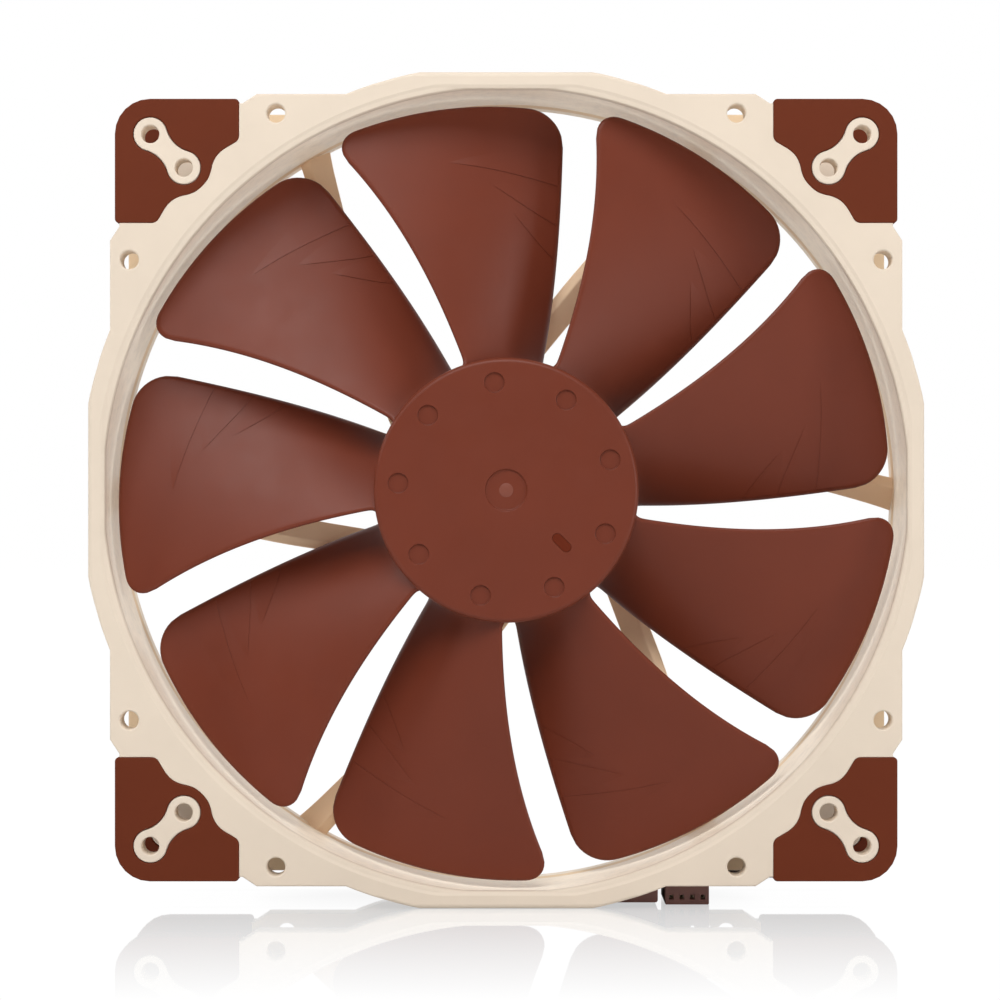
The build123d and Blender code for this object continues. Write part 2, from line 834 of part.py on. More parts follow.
keys = [
    (connector_left, connector_left + narrow_key_width),
    (connector_right - wide_key_width, connector_right),
]
contact_row = (connector_middle, -axis_height + contact_height)
with BuildPart() as connector_housing:
    with BuildSketch(at_depth(connector_front)):
        with Locations((connector_middle, -axis_height + connector_height / 2)):
            Rectangle(connector_right - connector_left, connector_height)
        for low, high in keys:
            with Locations(((low + high) / 2, -axis_height + connector_height + key_height / 2)):
                Rectangle(high - low, key_height)
    extrude(amount=-(connector_rear - connector_front))
    with BuildSketch(at_depth(connector_front)):
        with Locations(contact_row):
            with GridLocations(contact_pitch, 0, 4, 1):
                Rectangle(socket_mouth, socket_mouth)
    extrude(amount=-socket_mouth_depth, mode=Mode.SUBTRACT)
    with BuildSketch(at_depth(connector_front + socket_mouth_depth)):
        with Locations(contact_row):
            with GridLocations(contact_pitch, 0, 4, 1):
                Rectangle(socket_width, socket_width)
    socket_length = connector_rear - connector_front - socket_mouth_depth - socket_floor
    extrude(amount=-socket_length, mode=Mode.SUBTRACT)
write(connector_housing, "connector_housing")

with BuildPart() as connector_contacts:
    with BuildSketch(at_depth(connector_front + contact_inset)):
        with Locations(contact_row):
            with GridLocations(contact_pitch, 0, 4, 1):
                Rectangle(socket_width - 2 * contact_wall, socket_width - 2 * contact_wall)
                Rectangle(contact_bore, contact_bore, mode=Mode.SUBTRACT)
    extrude(amount=-contact_length)
write(connector_contacts, "connector_contacts")
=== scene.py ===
from math import atan2, cos, degrees, exp, hypot, pi, radians, sin, sqrt, tan

import bmesh
import bpy
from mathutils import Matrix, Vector


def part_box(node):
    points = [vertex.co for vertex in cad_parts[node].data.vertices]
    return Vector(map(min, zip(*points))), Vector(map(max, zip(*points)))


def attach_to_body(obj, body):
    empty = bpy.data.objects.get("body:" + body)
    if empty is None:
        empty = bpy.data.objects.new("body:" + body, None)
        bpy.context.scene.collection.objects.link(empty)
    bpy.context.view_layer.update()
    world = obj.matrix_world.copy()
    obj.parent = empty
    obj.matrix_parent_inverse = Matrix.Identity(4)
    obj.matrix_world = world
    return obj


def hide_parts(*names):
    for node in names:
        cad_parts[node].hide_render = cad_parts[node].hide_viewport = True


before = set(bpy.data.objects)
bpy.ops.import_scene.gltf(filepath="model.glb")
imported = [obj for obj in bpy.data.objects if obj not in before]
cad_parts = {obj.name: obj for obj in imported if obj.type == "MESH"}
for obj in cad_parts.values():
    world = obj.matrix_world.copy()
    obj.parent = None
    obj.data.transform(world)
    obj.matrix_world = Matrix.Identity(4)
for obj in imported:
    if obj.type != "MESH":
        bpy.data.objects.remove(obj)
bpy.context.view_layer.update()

# ---- places taken from the frame, worked in millimetres ----------------------
MM = 0.001
frame_low, frame_high = (Vector(corner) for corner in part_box("frame"))
front_y = frame_low.y
thickness = (frame_high.y - frame_low.y) / MM
axis_height = (frame_low.z + frame_high.z) / 2


def place(x, y, depth):
    """Point in metres, from its place across the face and its depth behind the front, in mm."""
    return Vector((x * MM, front_y + depth * MM, axis_height + y * MM))


def on_circle(radius, angle):
    """Point at this distance and angle in degrees from the fan's axis."""
    return (radius * cos(radians(angle)), radius * sin(radians(angle)))


# ---- mesh tools ---------------------------------------------------------------


def loop(bm, points, depth):
    """Closed row of vertices. depth is one number or one for each point."""
    if not hasattr(depth, "__len__"):
        depth = [depth] * len(points)
    return [bm.verts.new(place(x, y, d)) for (x, y), d in zip(points, depth)]


def bridge(bm, one, other, slot=0):
    """Quads between two closed rows of as many vertices."""
    for i in range(len(one)):
        j = (i + 1) % len(one)
        face = bm.faces.new((one[i], one[j], other[j], other[i]))
        face.material_index = slot


def bridge_all(bm, rows, slot=0):
    for one, other in zip(rows, rows[1:]):
        bridge(bm, one, other, slot)


def skin(bm, lines):
    """Quads between open lines of as many vertices."""
    for one, other in zip(lines, lines[1:]):
        for i in range(len(one) - 1):
            bm.faces.new((one[i], one[i + 1], other[i + 1], other[i]))


def boundary(bm, rows):
    """The edges of closed rows of vertices, made where they are missing."""
    edges = []
    for row in rows:
        for i, vert in enumerate(row):
            following = row[(i + 1) % len(row)]
            edges.append(bm.edges.get((vert, following)) or bm.edges.new((vert, following)))
    return edges


def fill(bm, *rows):
    """Flat face inside the first row and outside the others."""
    bmesh.ops.triangle_fill(bm, use_beauty=True, edges=boundary(bm, rows))


def shade_smooth(bm, sharp_angle):
    """Faces outwards, smooth except across edges sharper than this. Level faces stay flat."""
    bmesh.ops.recalc_face_normals(bm, faces=bm.faces)
    for face in bm.faces:
        face.smooth = abs(face.normal.y) < 0.99999
    limit = radians(sharp_angle)
    for edge in bm.edges:
        if len(edge.link_faces) == 2:
            edge.smooth = edge.calc_face_angle() < limit


def add_object(name, data):
    obj = bpy.data.objects.new(name, data)
    bpy.context.scene.collection.objects.link(obj)
    return obj


def attach(obj, body, node):
    """Fix a piece to its body, in place of a CAD node."""
    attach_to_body(obj, body)
    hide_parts(node)


def piece(bm, name, *materials, sharp_angle=32, cutter=None):
    """Object from a bmesh, less the cutter's shape where there is one."""
    bmesh.ops.remove_doubles(bm, verts=bm.verts, dist=1e-7)
    shade_smooth(bm, sharp_angle)
    mesh = bpy.data.meshes.new(name)
    bm.to_mesh(mesh)
    bm.free()
    obj = add_object(name, mesh)
    for material in materials:
        obj.data.materials.append(material)
    if cutter is not None:
        cut = obj.modifiers.new("cut", "BOOLEAN")
        cut.operation = "DIFFERENCE"
        cut.solver = "EXACT"
        cut.object = cutter
        result = bpy.data.meshes.new_from_object(obj.evaluated_get(bpy.context.evaluated_depsgraph_get()))
        obj.modifiers.clear()
        obj.data = result
        bm = bmesh.new()
        bm.from_mesh(result)
        shade_smooth(bm, sharp_angle)
        bm.to_mesh(result)
        bm.free()
    return obj


def offset(points, distance):
    """Closed outline moved inwards, in mm, by one distance or one for each point.
    The outline runs anticlockwise."""
    if not hasattr(distance, "__len__"):
        distance = [distance] * len(points)
    moved = []
    count = len(points)
    for i, (x, y) in enumerate(points):
        before = points[i - 1]
        after = points[(i + 1) % count]
        one = Vector((x - before[0], y - before[1])).normalized()
        two = Vector((after[0] - x, after[1] - y)).normalized()
        inward = Vector((-one.y - two.y, one.x + two.x)).normalized()
        stretch = 1 / max(0.5, inward.dot(Vector((-one.y, one.x))))
        inset = distance[i] * stretch
        moved.append((x + inward.x * inset, y + inward.y * inset))
    return moved


def circle(centre, radius, count=40):
    return [
        (centre[0] + radius * cos(2 * pi * i / count), centre[1] + radius * sin(2 * pi * i / count))
        for i in range(count)
    ]


def turn_points(points, angle):
    c, s = cos(radians(angle)), sin(radians(angle))
    return [(x * c - y * s, x * s + y * c) for x, y in points]


def arc(centre, radius, start, end, steps):
    return [
        (
            centre[0] + radius * cos(radians(start + (end - start) * i / steps)),
            centre[1] + radius * sin(radians(start + (end - start) * i / steps)),
        )
        for i in range(steps + 1)
    ]


def rounded(corners, steps=6):
    """Closed outline from (x, y, rounding) corners, each rounded by a tangent arc."""
    points = []
    for i, (x, y, rounding) in enumerate(corners):
        if rounding == 0:
            points.append((x, y))
            continue
        here = Vector((x, y))
        one = (Vector(corners[i - 1][:2]) - here).normalized()
        two = (Vector(corners[(i + 1) % len(corners)][:2]) - here).normalized()
        half = one.angle(two) / 2
        centre = here + (one + two).normalized() * rounding / sin(half)
        start = here + one * rounding / tan(half) - centre
        end = here + two * rounding / tan(half) - centre
        first = atan2(start.y, start.x)
        sweep = (atan2(end.y, end.x) - first + pi) % (2 * pi) - pi
        points += [
            (
                centre.x + rounding * cos(first + sweep * step / steps),
                centre.y + rounding * sin(first + sweep * step / steps),
            )
            for step in range(steps + 1)
        ]
    return points


def smooth_line(points, steps=5):
    """Curve through points of any size, each run in this many steps."""
    line = []
    for i in range(len(points) - 1):
        around = [points[max(i - 1, 0)], points[i], points[i + 1], points[min(i + 2, len(points) - 1)]]
        for step in range(steps):
            t = step / steps
            line.append(
                tuple(
                    0.5 * (2 * b + (c - a) * t + (2 * a - 5 * b + 4 * c - d) * t**2
                           + (3 * b - a - 3 * c + d) * t**3)
                    for a, b, c, d in zip(*around)
                )
            )
    return line + [tuple(points[-1])]


def round_edge(rounding, depth, towards, steps=3):
    """(share of the rounding that the edge is inset, depth) from a face round to its wall."""
    angles = [radians(90 * i / steps) for i in range(steps + 1)]
    return [(rounding * (1 - sin(a)), depth + towards * rounding * (1 - cos(a))) for a in angles]


def prism(bm, outline, front, rear, rounding, holes=(), steps=3):
    """Closed block with rounded front and rear edges. Each hole is an outline that runs
    anticlockwise, and goes through."""
    profile = round_edge(rounding, front, 1, steps) + round_edge(rounding, rear, -1, steps)[::-1]
    rows = [loop(bm, offset(outline, inset), depth) for inset, depth in profile]
    bridge_all(bm, rows)
    tunnels = []
    for hole in holes:
        tunnel = [loop(bm, offset(hole, -inset), depth) for inset, depth in profile]
        bridge_all(bm, tunnel)
        tunnels.append(tunnel)
    fill(bm, rows[0], *(tunnel[0] for tunnel in tunnels))
    fill(bm, rows[-1], *(tunnel[-1] for tunnel in tunnels))


def spindle(bm, profile, count, centre=(0, 0)):
    """Solid of revolution from a (radius, depth) profile, closed by flat ends."""
    rows = [loop(bm, circle(centre, radius, count), depth) for radius, depth in profile]
    bridge_all(bm, rows)
    bm.faces.new(rows[0])
    bm.faces.new(rows[-1])


# ---- materials ------------------------------------------------------------------


def map_range(tree, source, before, after):
    """Node output: the source mapped from one (low, high) range to another."""
    node = tree.nodes.new("ShaderNodeMapRange")
    for name, value in zip(("From Min", "From Max", "To Min", "To Max"), before + after):
        node.inputs[name].default_value = value
    tree.links.new(source, node.inputs["Value"])
    return node.outputs["Result"]


class Nodes:
    """Short names for building one material's node tree."""

    def __init__(self, name):
        self.material = bpy.data.materials.new(name)
        self.material.use_nodes = True
        self.tree = self.material.node_tree
        self.shader = self.tree.nodes["Principled BSDF"]
        self.coordinates = self.add("ShaderNodeTexCoord").outputs["Object"]

    def add(self, kind, **settings):
        node = self.tree.nodes.new(kind)
        for key, value in settings.items():
            setattr(node, key, value)
        return node

    def link(self, source, target):
        self.tree.links.new(source, target)

    def put(self, value, socket):
        """Give one of the shader's sockets a link or a fixed value."""
        if hasattr(value, "is_output"):
            self.link(value, self.shader.inputs[socket])
        else:
            self.shader.inputs[socket].default_value = value

    def noise(self, scale, detail=3.0, roughness=0.55):
        node = self.add("ShaderNodeTexNoise")
        node.inputs["Scale"].default_value = scale
        node.inputs["Detail"].default_value = detail
        node.inputs["Roughness"].default_value = roughness
        self.link(self.coordinates, node.inputs["Vector"])
        return node.outputs["Fac"]

    def ramp(self, factor, stops):
        """Colour ramp; stops are (place, colour) pairs."""
        node = self.add("ShaderNodeValToRGB")
        while len(node.color_ramp.elements) < len(stops):
            node.color_ramp.elements.new(0.5)
        for element, (position, colour) in zip(node.color_ramp.elements, stops):
            element.position = position
            element.color = (*colour, 1)
        self.link(factor, node.inputs["Fac"])
        return node.outputs["Color"]

    def scaled(self, factor, low, high, start=0.3, end=0.7):
        """Factor mapped from start..end to low..high."""
        return map_range(self.tree, factor, (start, end), (low, high))

    def bump(self, height, strength, distance, onto=None):
        node = self.add("ShaderNodeBump")
        node.inputs["Strength"].default_value = strength
        node.inputs["Distance"].default_value = distance
        self.link(height, node.inputs["Height"])
        if onto is not None:
            self.link(onto, node.inputs["Normal"])
        return node.outputs["Normal"]

    def math(self, operation, one, other=None):
        node = self.add("ShaderNodeMath", operation=operation)
        for slot, value in zip(node.inputs, (one, other)):
            if value is None:
                continue
            if hasattr(value, "is_output"):
                self.link(value, slot)
            else:
                slot.default_value = value
        return node.outputs[0]


def shade(colour, amount):
    return tuple(min(1.0, channel * amount) for channel in colour)


def moulded_plastic(name, colour, roughness, grain=2600.0, grain_depth=0.00002, spread=0.03, specular=0.5):
    """Moulded plastic: cloudy colour, a fine spark-eroded grain and an uneven sheen."""
    nodes = Nodes(name)
    clouds = nodes.noise(35.0, 4.0)
    tones = [(0.3, shade(colour, 1 - spread)), (0.7, shade(colour, 1 + spread))]
    nodes.put(nodes.ramp(clouds, tones), "Base Color")
    sheen = nodes.scaled(nodes.noise(160.0, 2.0), roughness * 0.92, roughness * 1.08)
    nodes.put(sheen, "Roughness")
    waves = nodes.bump(nodes.noise(90.0, 1.0), 0.15, 0.00008)
    grains = nodes.bump(nodes.noise(grain, 2.0), 0.5, grain_depth, waves)
    nodes.put(grains, "Normal")
    nodes.put(specular, "Specular IOR Level")
    return nodes.material


def mottled(name, colour, roughness, specular, painted_glow):
    """Moulded wall with flow marks: patches of slightly different tone and height, and a faint warm painted
    glow, an emission that lights the wall though it is no lamp.
    """
    nodes = Nodes(name)
    patches = nodes.noise(420.0, 5.0, 0.65)
    tones = [(0.32, shade(colour, 0.90)), (0.5, colour), (0.7, shade(colour, 1.06))]
    nodes.put(nodes.ramp(patches, tones), "Base Color")
    nodes.put(nodes.scaled(patches, roughness * 0.85, roughness * 1.15), "Roughness")
    nodes.put(nodes.bump(patches, 0.6, 0.00006), "Normal")
    nodes.put(specular, "Specular IOR Level")
    # Painted light: a faint warm emission makes the wall glow.
    nodes.put((1.0, 0.86, 0.70, 1), "Emission Color")
    nodes.put(painted_glow, "Emission Strength")
    return nodes.material


def metal(name, colour, roughness):
    """Turned or pressed metal: fine streaks and a patchy polish."""
    nodes = Nodes(name)
    streaks = nodes.noise(1400.0, 4.0, 0.7)
    tones = [(0.3, shade(colour, 0.86)), (0.7, shade(colour, 1.04))]
    nodes.put(nodes.ramp(streaks, tones), "Base Color")
    polish = nodes.scaled(nodes.noise(90.0), roughness * 0.7, roughness * 1.4)
    nodes.put(polish, "Roughness")
    nodes.put(nodes.bump(streaks, 0.4, 0.00001), "Normal")
    nodes.put(1.0, "Metallic")
    return nodes.material


def banded(name, colour, gap_colour, pitch, roughness):
    """Stacked sheets or wound wire: metal with narrow dark gaps along the fan's axis."""
    nodes = Nodes(name)
    apart = nodes.add("ShaderNodeSeparateXYZ")
    nodes.link(nodes.coordinates, apart.inputs[0])
    phase = nodes.math("FRACT", nodes.math("DIVIDE", apart.outputs["Y"], pitch))
    height = nodes.math("ABSOLUTE", nodes.math("SUBTRACT", phase, 0.5))
    tones = [(0.0, colour), (0.36, shade(colour, 0.93)), (0.48, gap_colour)]
    nodes.put(nodes.ramp(height, tones), "Base Color")
    wear = nodes.scaled(nodes.noise(300.0), roughness * 0.8, roughness * 1.2)
    nodes.put(wear, "Roughness")
    nodes.put(nodes.bump(height, -0.7, pitch * 0.3), "Normal")
    nodes.put(1.0, "Metallic")
    return nodes.material


def ringed_label(name):
    """Plain silver sticker: a thin printed ring near its rim and another round the middle."""
    nodes = Nodes(name)
    apart = nodes.add("ShaderNodeSeparateXYZ")
    nodes.link(nodes.coordinates, apart.inputs[0])
    across = apart.outputs["X"]
    up = nodes.math("SUBTRACT", apart.outputs["Z"], axis_height)
    squares = nodes.math("ADD", nodes.math("MULTIPLY", up, up), nodes.math("MULTIPLY", across, across))
    share = nodes.math("DIVIDE", nodes.math("SQRT", squares), 0.025)
    print_colour, sheet_colour = (0.10, 0.028, 0.018), (0.62, 0.50, 0.38)
    tones = [
        (0.0, sheet_colour), (0.36, sheet_colour), (0.365, print_colour), (0.40, print_colour),
        (0.405, sheet_colour), (0.86, sheet_colour), (0.865, print_colour), (0.94, print_colour),
        (0.945, sheet_colour),
    ]
    nodes.put(nodes.ramp(share, tones), "Base Color")
    nodes.put(nodes.scaled(nodes.noise(700.0), 0.28, 0.42), "Roughness")
    nodes.put(nodes.bump(nodes.noise(60.0, 1.0), 0.3, 0.00005), "Normal")
    return nodes.material


def printed_board(name):
    """Circuit board lacquer over copper tracks."""
    nodes = Nodes(name)
    cells = nodes.add("ShaderNodeTexVoronoi", feature="DISTANCE_TO_EDGE")
    cells.inputs["Scale"].default_value = 320.0
    nodes.link(nodes.coordinates, cells.inputs["Vector"])
    tracks = cells.outputs["Distance"]
    tones = [(0.0, (0.010, 0.035, 0.016)), (0.10, (0.012, 0.055, 0.024)), (0.14, (0.02, 0.09, 0.04))]
    nodes.put(nodes.ramp(tracks, tones), "Base Color")
    nodes.put(nodes.scaled(nodes.noise(200.0), 0.28, 0.4), "Roughness")
    nodes.put(nodes.bump(tracks, 0.5, 0.00004), "Normal")
    return nodes.material


def braided(name, colour, around, along):
    """Woven sleeve: strands that cross at a slant, from the tube's own length and turn, darker between the
    strands and lighter on their crowns, a painted shade and highlight.
    """
    nodes = Nodes(name)
    apart = nodes.add("ShaderNodeSeparateXYZ")
    nodes.link(nodes.add("ShaderNodeTexCoord").outputs["UV"], apart.inputs[0])
    length = nodes.math("MULTIPLY", apart.outputs["X"], along)
    turn = nodes.math("MULTIPLY", apart.outputs["Y"], around)
    strands = []
    for slant in ("ADD", "SUBTRACT"):
        phase = nodes.math("MULTIPLY", nodes.math(slant, length, turn), pi)
        strands.append(nodes.math("ABSOLUTE", nodes.math("SINE", phase)))
    weave = nodes.math("MULTIPLY", *strands)
    # Painted shade between the strands and a painted highlight on their crowns.
    tones = [(0.0, shade(colour, 0.3)), (0.25, colour), (0.9, shade(colour, 1.5))]
    nodes.put(nodes.ramp(weave, tones), "Base Color")
    nodes.put(nodes.scaled(nodes.noise(900.0), 0.5, 0.7), "Roughness")
    nodes.put(nodes.bump(weave, 0.8, 0.0003), "Normal")
    return nodes.material


FRAME_COLOUR = (0.745, 0.635, 0.515)
DUCT_PAINTED_LIGHT_COLOUR = (0.83, 0.725, 0.59)
STRUT_PAINTED_LIGHT_COLOUR = (0.95, 0.71, 0.48)
INNER_PAINTED_BOUNCE_COLOUR = (0.88, 0.68, 0.46)
IMPELLER_COLOUR = (0.155, 0.0305, 0.0135)
PAD_COLOUR = (0.130, 0.0256, 0.0090)

frame_plastic = moulded_plastic("frame_plastic", FRAME_COLOUR, 0.5, specular=0.3)
# Painted light: the duct wall is a lighter copy of the frame plastic, with a painted glow, lifting the
# wall's shade.
duct_painted_light = mottled("duct_painted_light", DUCT_PAINTED_LIGHT_COLOUR, 0.45, specular=0.12, painted_glow=0.1)
# Painted light: struts and motor base are a lighter, warmer copy of the frame plastic, lifting the shade
# deep in the duct.
strut_painted_light = moulded_plastic("strut_painted_light", STRUT_PAINTED_LIGHT_COLOUR, 0.5, specular=0.12)
# Painted light: the flange sides that face each other are a lighter, warmer copy of the frame plastic,
# standing in for light bouncing between the flanges.
inner_painted_bounce = moulded_plastic("inner_painted_bounce", INNER_PAINTED_BOUNCE_COLOUR, 0.6, specular=0.05)
impeller_plastic = moulded_plastic("impeller_plastic", IMPELLER_COLOUR, 0.42, spread=0.05, specular=0.25)
gate_plastic = moulded_plastic("gate_plastic", (0.205, 0.062, 0.040), 0.45, specular=0.2)
# Painted shade: a darker plastic for the insert in the hub's slot.
slot_painted_shade = moulded_plastic("slot_painted_shade", (0.124, 0.021, 0.0085), 0.6, specular=0.05)
pad_rubber = moulded_plastic("pad_rubber", PAD_COLOUR, 0.62, grain=3400.0, spread=0.05, specular=0.12)
connector_plastic = moulded_plastic("connector_plastic", (0.16, 0.065, 0.052), 0.45)
dark_plastic = moulded_plastic("dark_plastic", (0.02, 0.018, 0.017), 0.45)
bearing_polymer = moulded_plastic("bearing_polymer", (0.32, 0.30, 0.27), 0.4)
shrink_tube = moulded_plastic("shrink_tube", (0.035, 0.014, 0.011), 0.35, grain=900.0, grain_depth=0.0001)
wire_insulation = moulded_plastic("wire_insulation", (0.06, 0.02, 0.015), 0.38)
ceramic_chip = moulded_plastic("ceramic_chip", (0.035, 0.033, 0.032), 0.5, grain=5000.0)
magnet_iron = moulded_plastic("magnet", (0.05, 0.047, 0.045), 0.55, grain=4200.0, spread=0.2)
brass = metal("brass", (0.70, 0.47, 0.18), 0.28)
steel = metal("steel", (0.62, 0.61, 0.60), 0.18)
yoke_steel = metal("yoke_steel", (0.42, 0.41, 0.40), 0.35)
contact_metal = metal("contact_metal", (0.62, 0.50, 0.36), 0.25)
core_steel = banded("core_steel", (0.30, 0.29, 0.28), (0.05, 0.05, 0.05), 0.0005, 0.4)
copper = banded("copper", (0.62, 0.25, 0.12), (0.10, 0.03, 0.015), 0.0004, 0.3)
board = printed_board("board")
label = ringed_label("label")
lead_sleeve = braided("lead_sleeve", (0.035, 0.016, 0.012), 8.0, 150.0)

# ---- camera, light and floor --------------------------------------------------
CAMERA_DISTANCE = 0.500
camera_data = bpy.data.cameras.new("camera")
camera = add_object("camera", camera_data)
camera.location = (0.0013, front_y - CAMERA_DISTANCE, 0.0877)
camera.rotation_euler = (pi / 2, 0, 0)
camera_data.sensor_width = 36.0
camera_data.lens = 75.40
camera_data.shift_x = -0.0116
camera_data.shift_y = 0.0416
camera_data.clip_start = 0.01
bpy.context.scene.camera = camera
bpy.context.scene.view_settings.view_transform = "Standard"

# The studio: a white sweep behind, a dim room in front and a bright ceiling.
world = bpy.data.worlds.new("studio")
bpy.context.scene.world = world
world.use_nodes = True
world_tree = world.node_tree
sky = world_tree.nodes["Background"]
directions = world_tree.nodes.new("ShaderNodeTexCoord")
split = world_tree.nodes.new("ShaderNodeSeparateXYZ")
world_tree.links.new(directions.outputs["Generated"], split.inputs[0])

ROOM, CEILING, SWEEP = 0.08, 0.5, 1.0
ceiling = map_range(world_tree, split.outputs["Z"], (0.25, 0.95), (ROOM, CEILING))
sweep_share = map_range(world_tree, split.outputs["Y"], (-0.05, 0.3), (0.0, 1.0))
blend = world_tree.nodes.new("ShaderNodeMix")
world_tree.links.new(sweep_share, blend.inputs["Factor"])
world_tree.links.new(ceiling, blend.inputs["A"])
blend.inputs["B"].default_value = SWEEP
seen = world_tree.nodes.new("ShaderNodeLightPath")
backdrop = world_tree.nodes.new("ShaderNodeMix")
world_tree.links.new(seen.outputs["Is Camera Ray"], backdrop.inputs["Factor"])
world_tree.links.new(blend.outputs["Result"], backdrop.inputs["A"])
backdrop.inputs["B"].default_value = 1.0
sky.inputs["Color"].default_value = (1, 1, 1, 1)
world_tree.links.new(backdrop.outputs["Result"], sky.inputs["Strength"])


def soft_box(name, location, target, size, power):
    data = bpy.data.lights.new(name, "AREA")
    data.shape = "RECTANGLE"
    data.size, data.size_y = size
    data.energy = power
    lamp = add_object(name, data)
    lamp.location = location
    aim = Vector(target) - Vector(location)
    lamp.rotation_euler = aim.to_track_quat("-Z", "Y").to_euler()


soft_box("key", (-0.12, -0.9, 1.05), (0, 0, 0.1), (1.0, 0.6), 11.5)
soft_box("left", (-1.2, -0.5, 0.75), (0, 0, 0.1), (0.3, 0.5), 3.5)
soft_box("right", (1.2, -0.7, 0.3), (0, 0, 0.1), (0.4, 0.6), 4.5)

floor_mesh = bpy.data.meshes.new("floor")
floor_half = 6.0
floor_mesh.from_pydata(
    [(-floor_half, -floor_half, 0), (floor_half, -floor_half, 0),
     (floor_half, floor_half, 0), (-floor_half, floor_half, 0)],
    [],
    [(0, 1, 2, 3)],
)
floor = add_object("floor", floor_mesh)


def floor_sheet():
    """White acrylic: white wherever nothing touches it, with a painted contact shadow where ambient
    occlusion dims the emitted white near things, and a sharp, faint reflection under the front that fades
    towards the viewer."""
    nodes = Nodes("floor_sheet")
    tree = nodes.tree
    tree.nodes.remove(nodes.shader)
    output = tree.nodes["Material Output"]
    # Painted shadow: ambient occlusion dims the floor's emitted white near the fan.
    contact = nodes.add("ShaderNodeAmbientOcclusion", samples=8)
    contact.inputs["Distance"].default_value = 0.02
    white = nodes.add("ShaderNodeEmission")
    nodes.link(nodes.scaled(contact.outputs["AO"], 0.9, 1.01, 0.1, 0.7), white.inputs["Strength"])
    mirror = nodes.add("ShaderNodeBsdfGlossy")
    mirror.inputs["Roughness"].default_value = 0.03
    mirror.inputs["Color"].default_value = (1, 1, 1, 1)
    apart = nodes.add("ShaderNodeSeparateXYZ")
    nodes.link(nodes.coordinates, apart.inputs[0])
    rise = nodes.scaled(apart.outputs["Y"], 0.0, 0.38, front_y - 0.101, front_y)
    fall = nodes.scaled(apart.outputs["Y"], 1.0, 0.0, front_y + 0.009, front_y + 0.02)
    aside = nodes.scaled(nodes.math("ABSOLUTE", apart.outputs["X"]), 1.0, 0.0, 0.11, 0.19)
    fade = nodes.math("MULTIPLY", nodes.math("MULTIPLY", rise, fall), aside)
    top = nodes.add("ShaderNodeMixShader")
    nodes.link(fade, top.inputs["Fac"])
    nodes.link(white.outputs[0], top.inputs[1])
    nodes.link(mirror.outputs[0], top.inputs[2])
    bounce = nodes.add("ShaderNodeBsdfDiffuse")
    bounce.inputs["Color"].default_value = (0.75, 0.75, 0.75, 1)
    path = nodes.add("ShaderNodeLightPath")
    both = nodes.add("ShaderNodeMixShader")
    nodes.link(path.outputs["Is Camera Ray"], both.inputs["Fac"])
    nodes.link(bounce.outputs[0], both.inputs[1])
    nodes.link(top.outputs[0], both.inputs[2])
    nodes.link(both.outputs[0], output.inputs["Surface"])
    return nodes.material


floor_mesh.materials.append(floor_sheet())

# ---- frame: outlines ----------------------------------------------------------------
HALF, DEPTH = 100.0, thickness
RING_RADIUS, FLANGE, FLANGE_HALF, CORNER_HALF, CORNER_RADIUS = 102.1, 5.5, 94.65, 92.4, 7.5
CORNER_START, CORNER_STEP = 63.0, 3.4
TUBE_RADIUS, LEDGE_HALF, LEDGE_DROP = 98.3, 96.9, 0.3
LIP_RADIUS, LIP_HALF, LIP_DEPTH = 96.3, 95.8, 2.0
DUCT_FRONT, DUCT_REAR = 96.5, 96.8
EDGE_ROUND, FLAT_ROUND, SEAM_ROUND = 0.4, 1.1, 0.22
PAD_HALF, PAD_START, PAD_NOTCH, PAD_SKIN, PAD_PROUD = 93.45, 63.8, 83.55, 1.0, 0.12
HALF_SCALLOP = [
    (65.6, 82.5), (67.7, 81.2), (69.2, 79.7), (70.1, 77.9), (70.6, 75.9), (71.3, 74.2), (72.6, 72.6),
]


def mirrored(points):
    """The same points on the other side of the corner's diagonal."""
    return [(y, x) for x, y in reversed(points)]


scallop = smooth_line(HALF_SCALLOP + mirrored(HALF_SCALLOP[:-1]))
pad_rounding = [(PAD_NOTCH, PAD_START, 2.0), (PAD_HALF, PAD_START, 1.0), (PAD_HALF, PAD_HALF, 8.4)]
pad_rounding += [(PAD_START, PAD_HALF, 1.0), (PAD_START, PAD_NOTCH, 2.0)]
pad_outline = rounded(pad_rounding + [(x, y, 0) for x, y in scallop])

ROUNDING_POINTS = 7
lower_notch = pad_outline[:ROUNDING_POINTS]
half_middle = list(reversed(scallop))[: len(scallop) // 2 + 1]
flat_end = sqrt(RING_RADIUS**2 - HALF**2)
arc_end = degrees(atan2(sqrt(RING_RADIUS**2 - FLANGE_HALF**2), FLANGE_HALF))
half_quarter = (
    [(HALF, 0.0), (HALF, flat_end * 0.7)]
    + arc((0, 0), RING_RADIUS, degrees(atan2(flat_end, HALF)), arc_end, 8)
    + [(FLANGE_HALF, CORNER_START - CORNER_STEP), (CORNER_HALF, CORNER_START), (CORNER_HALF, PAD_START)]
    + list(reversed(lower_notch))
    + half_middle
)
quarter = half_quarter + mirrored(half_quarter[1:-1])
flange_outline = [p for turn in range(4) for p in turn_points(quarter, 90 * turn)]

WINDOW = [(46.2, -91.6), (51.4, -91.6), (51.4, -87.0), (46.2, -87.0)]
NOTCH_LEFT, NOTCH_RIGHT, NOTCH_TOP = 29.3, 36.7, -93.4


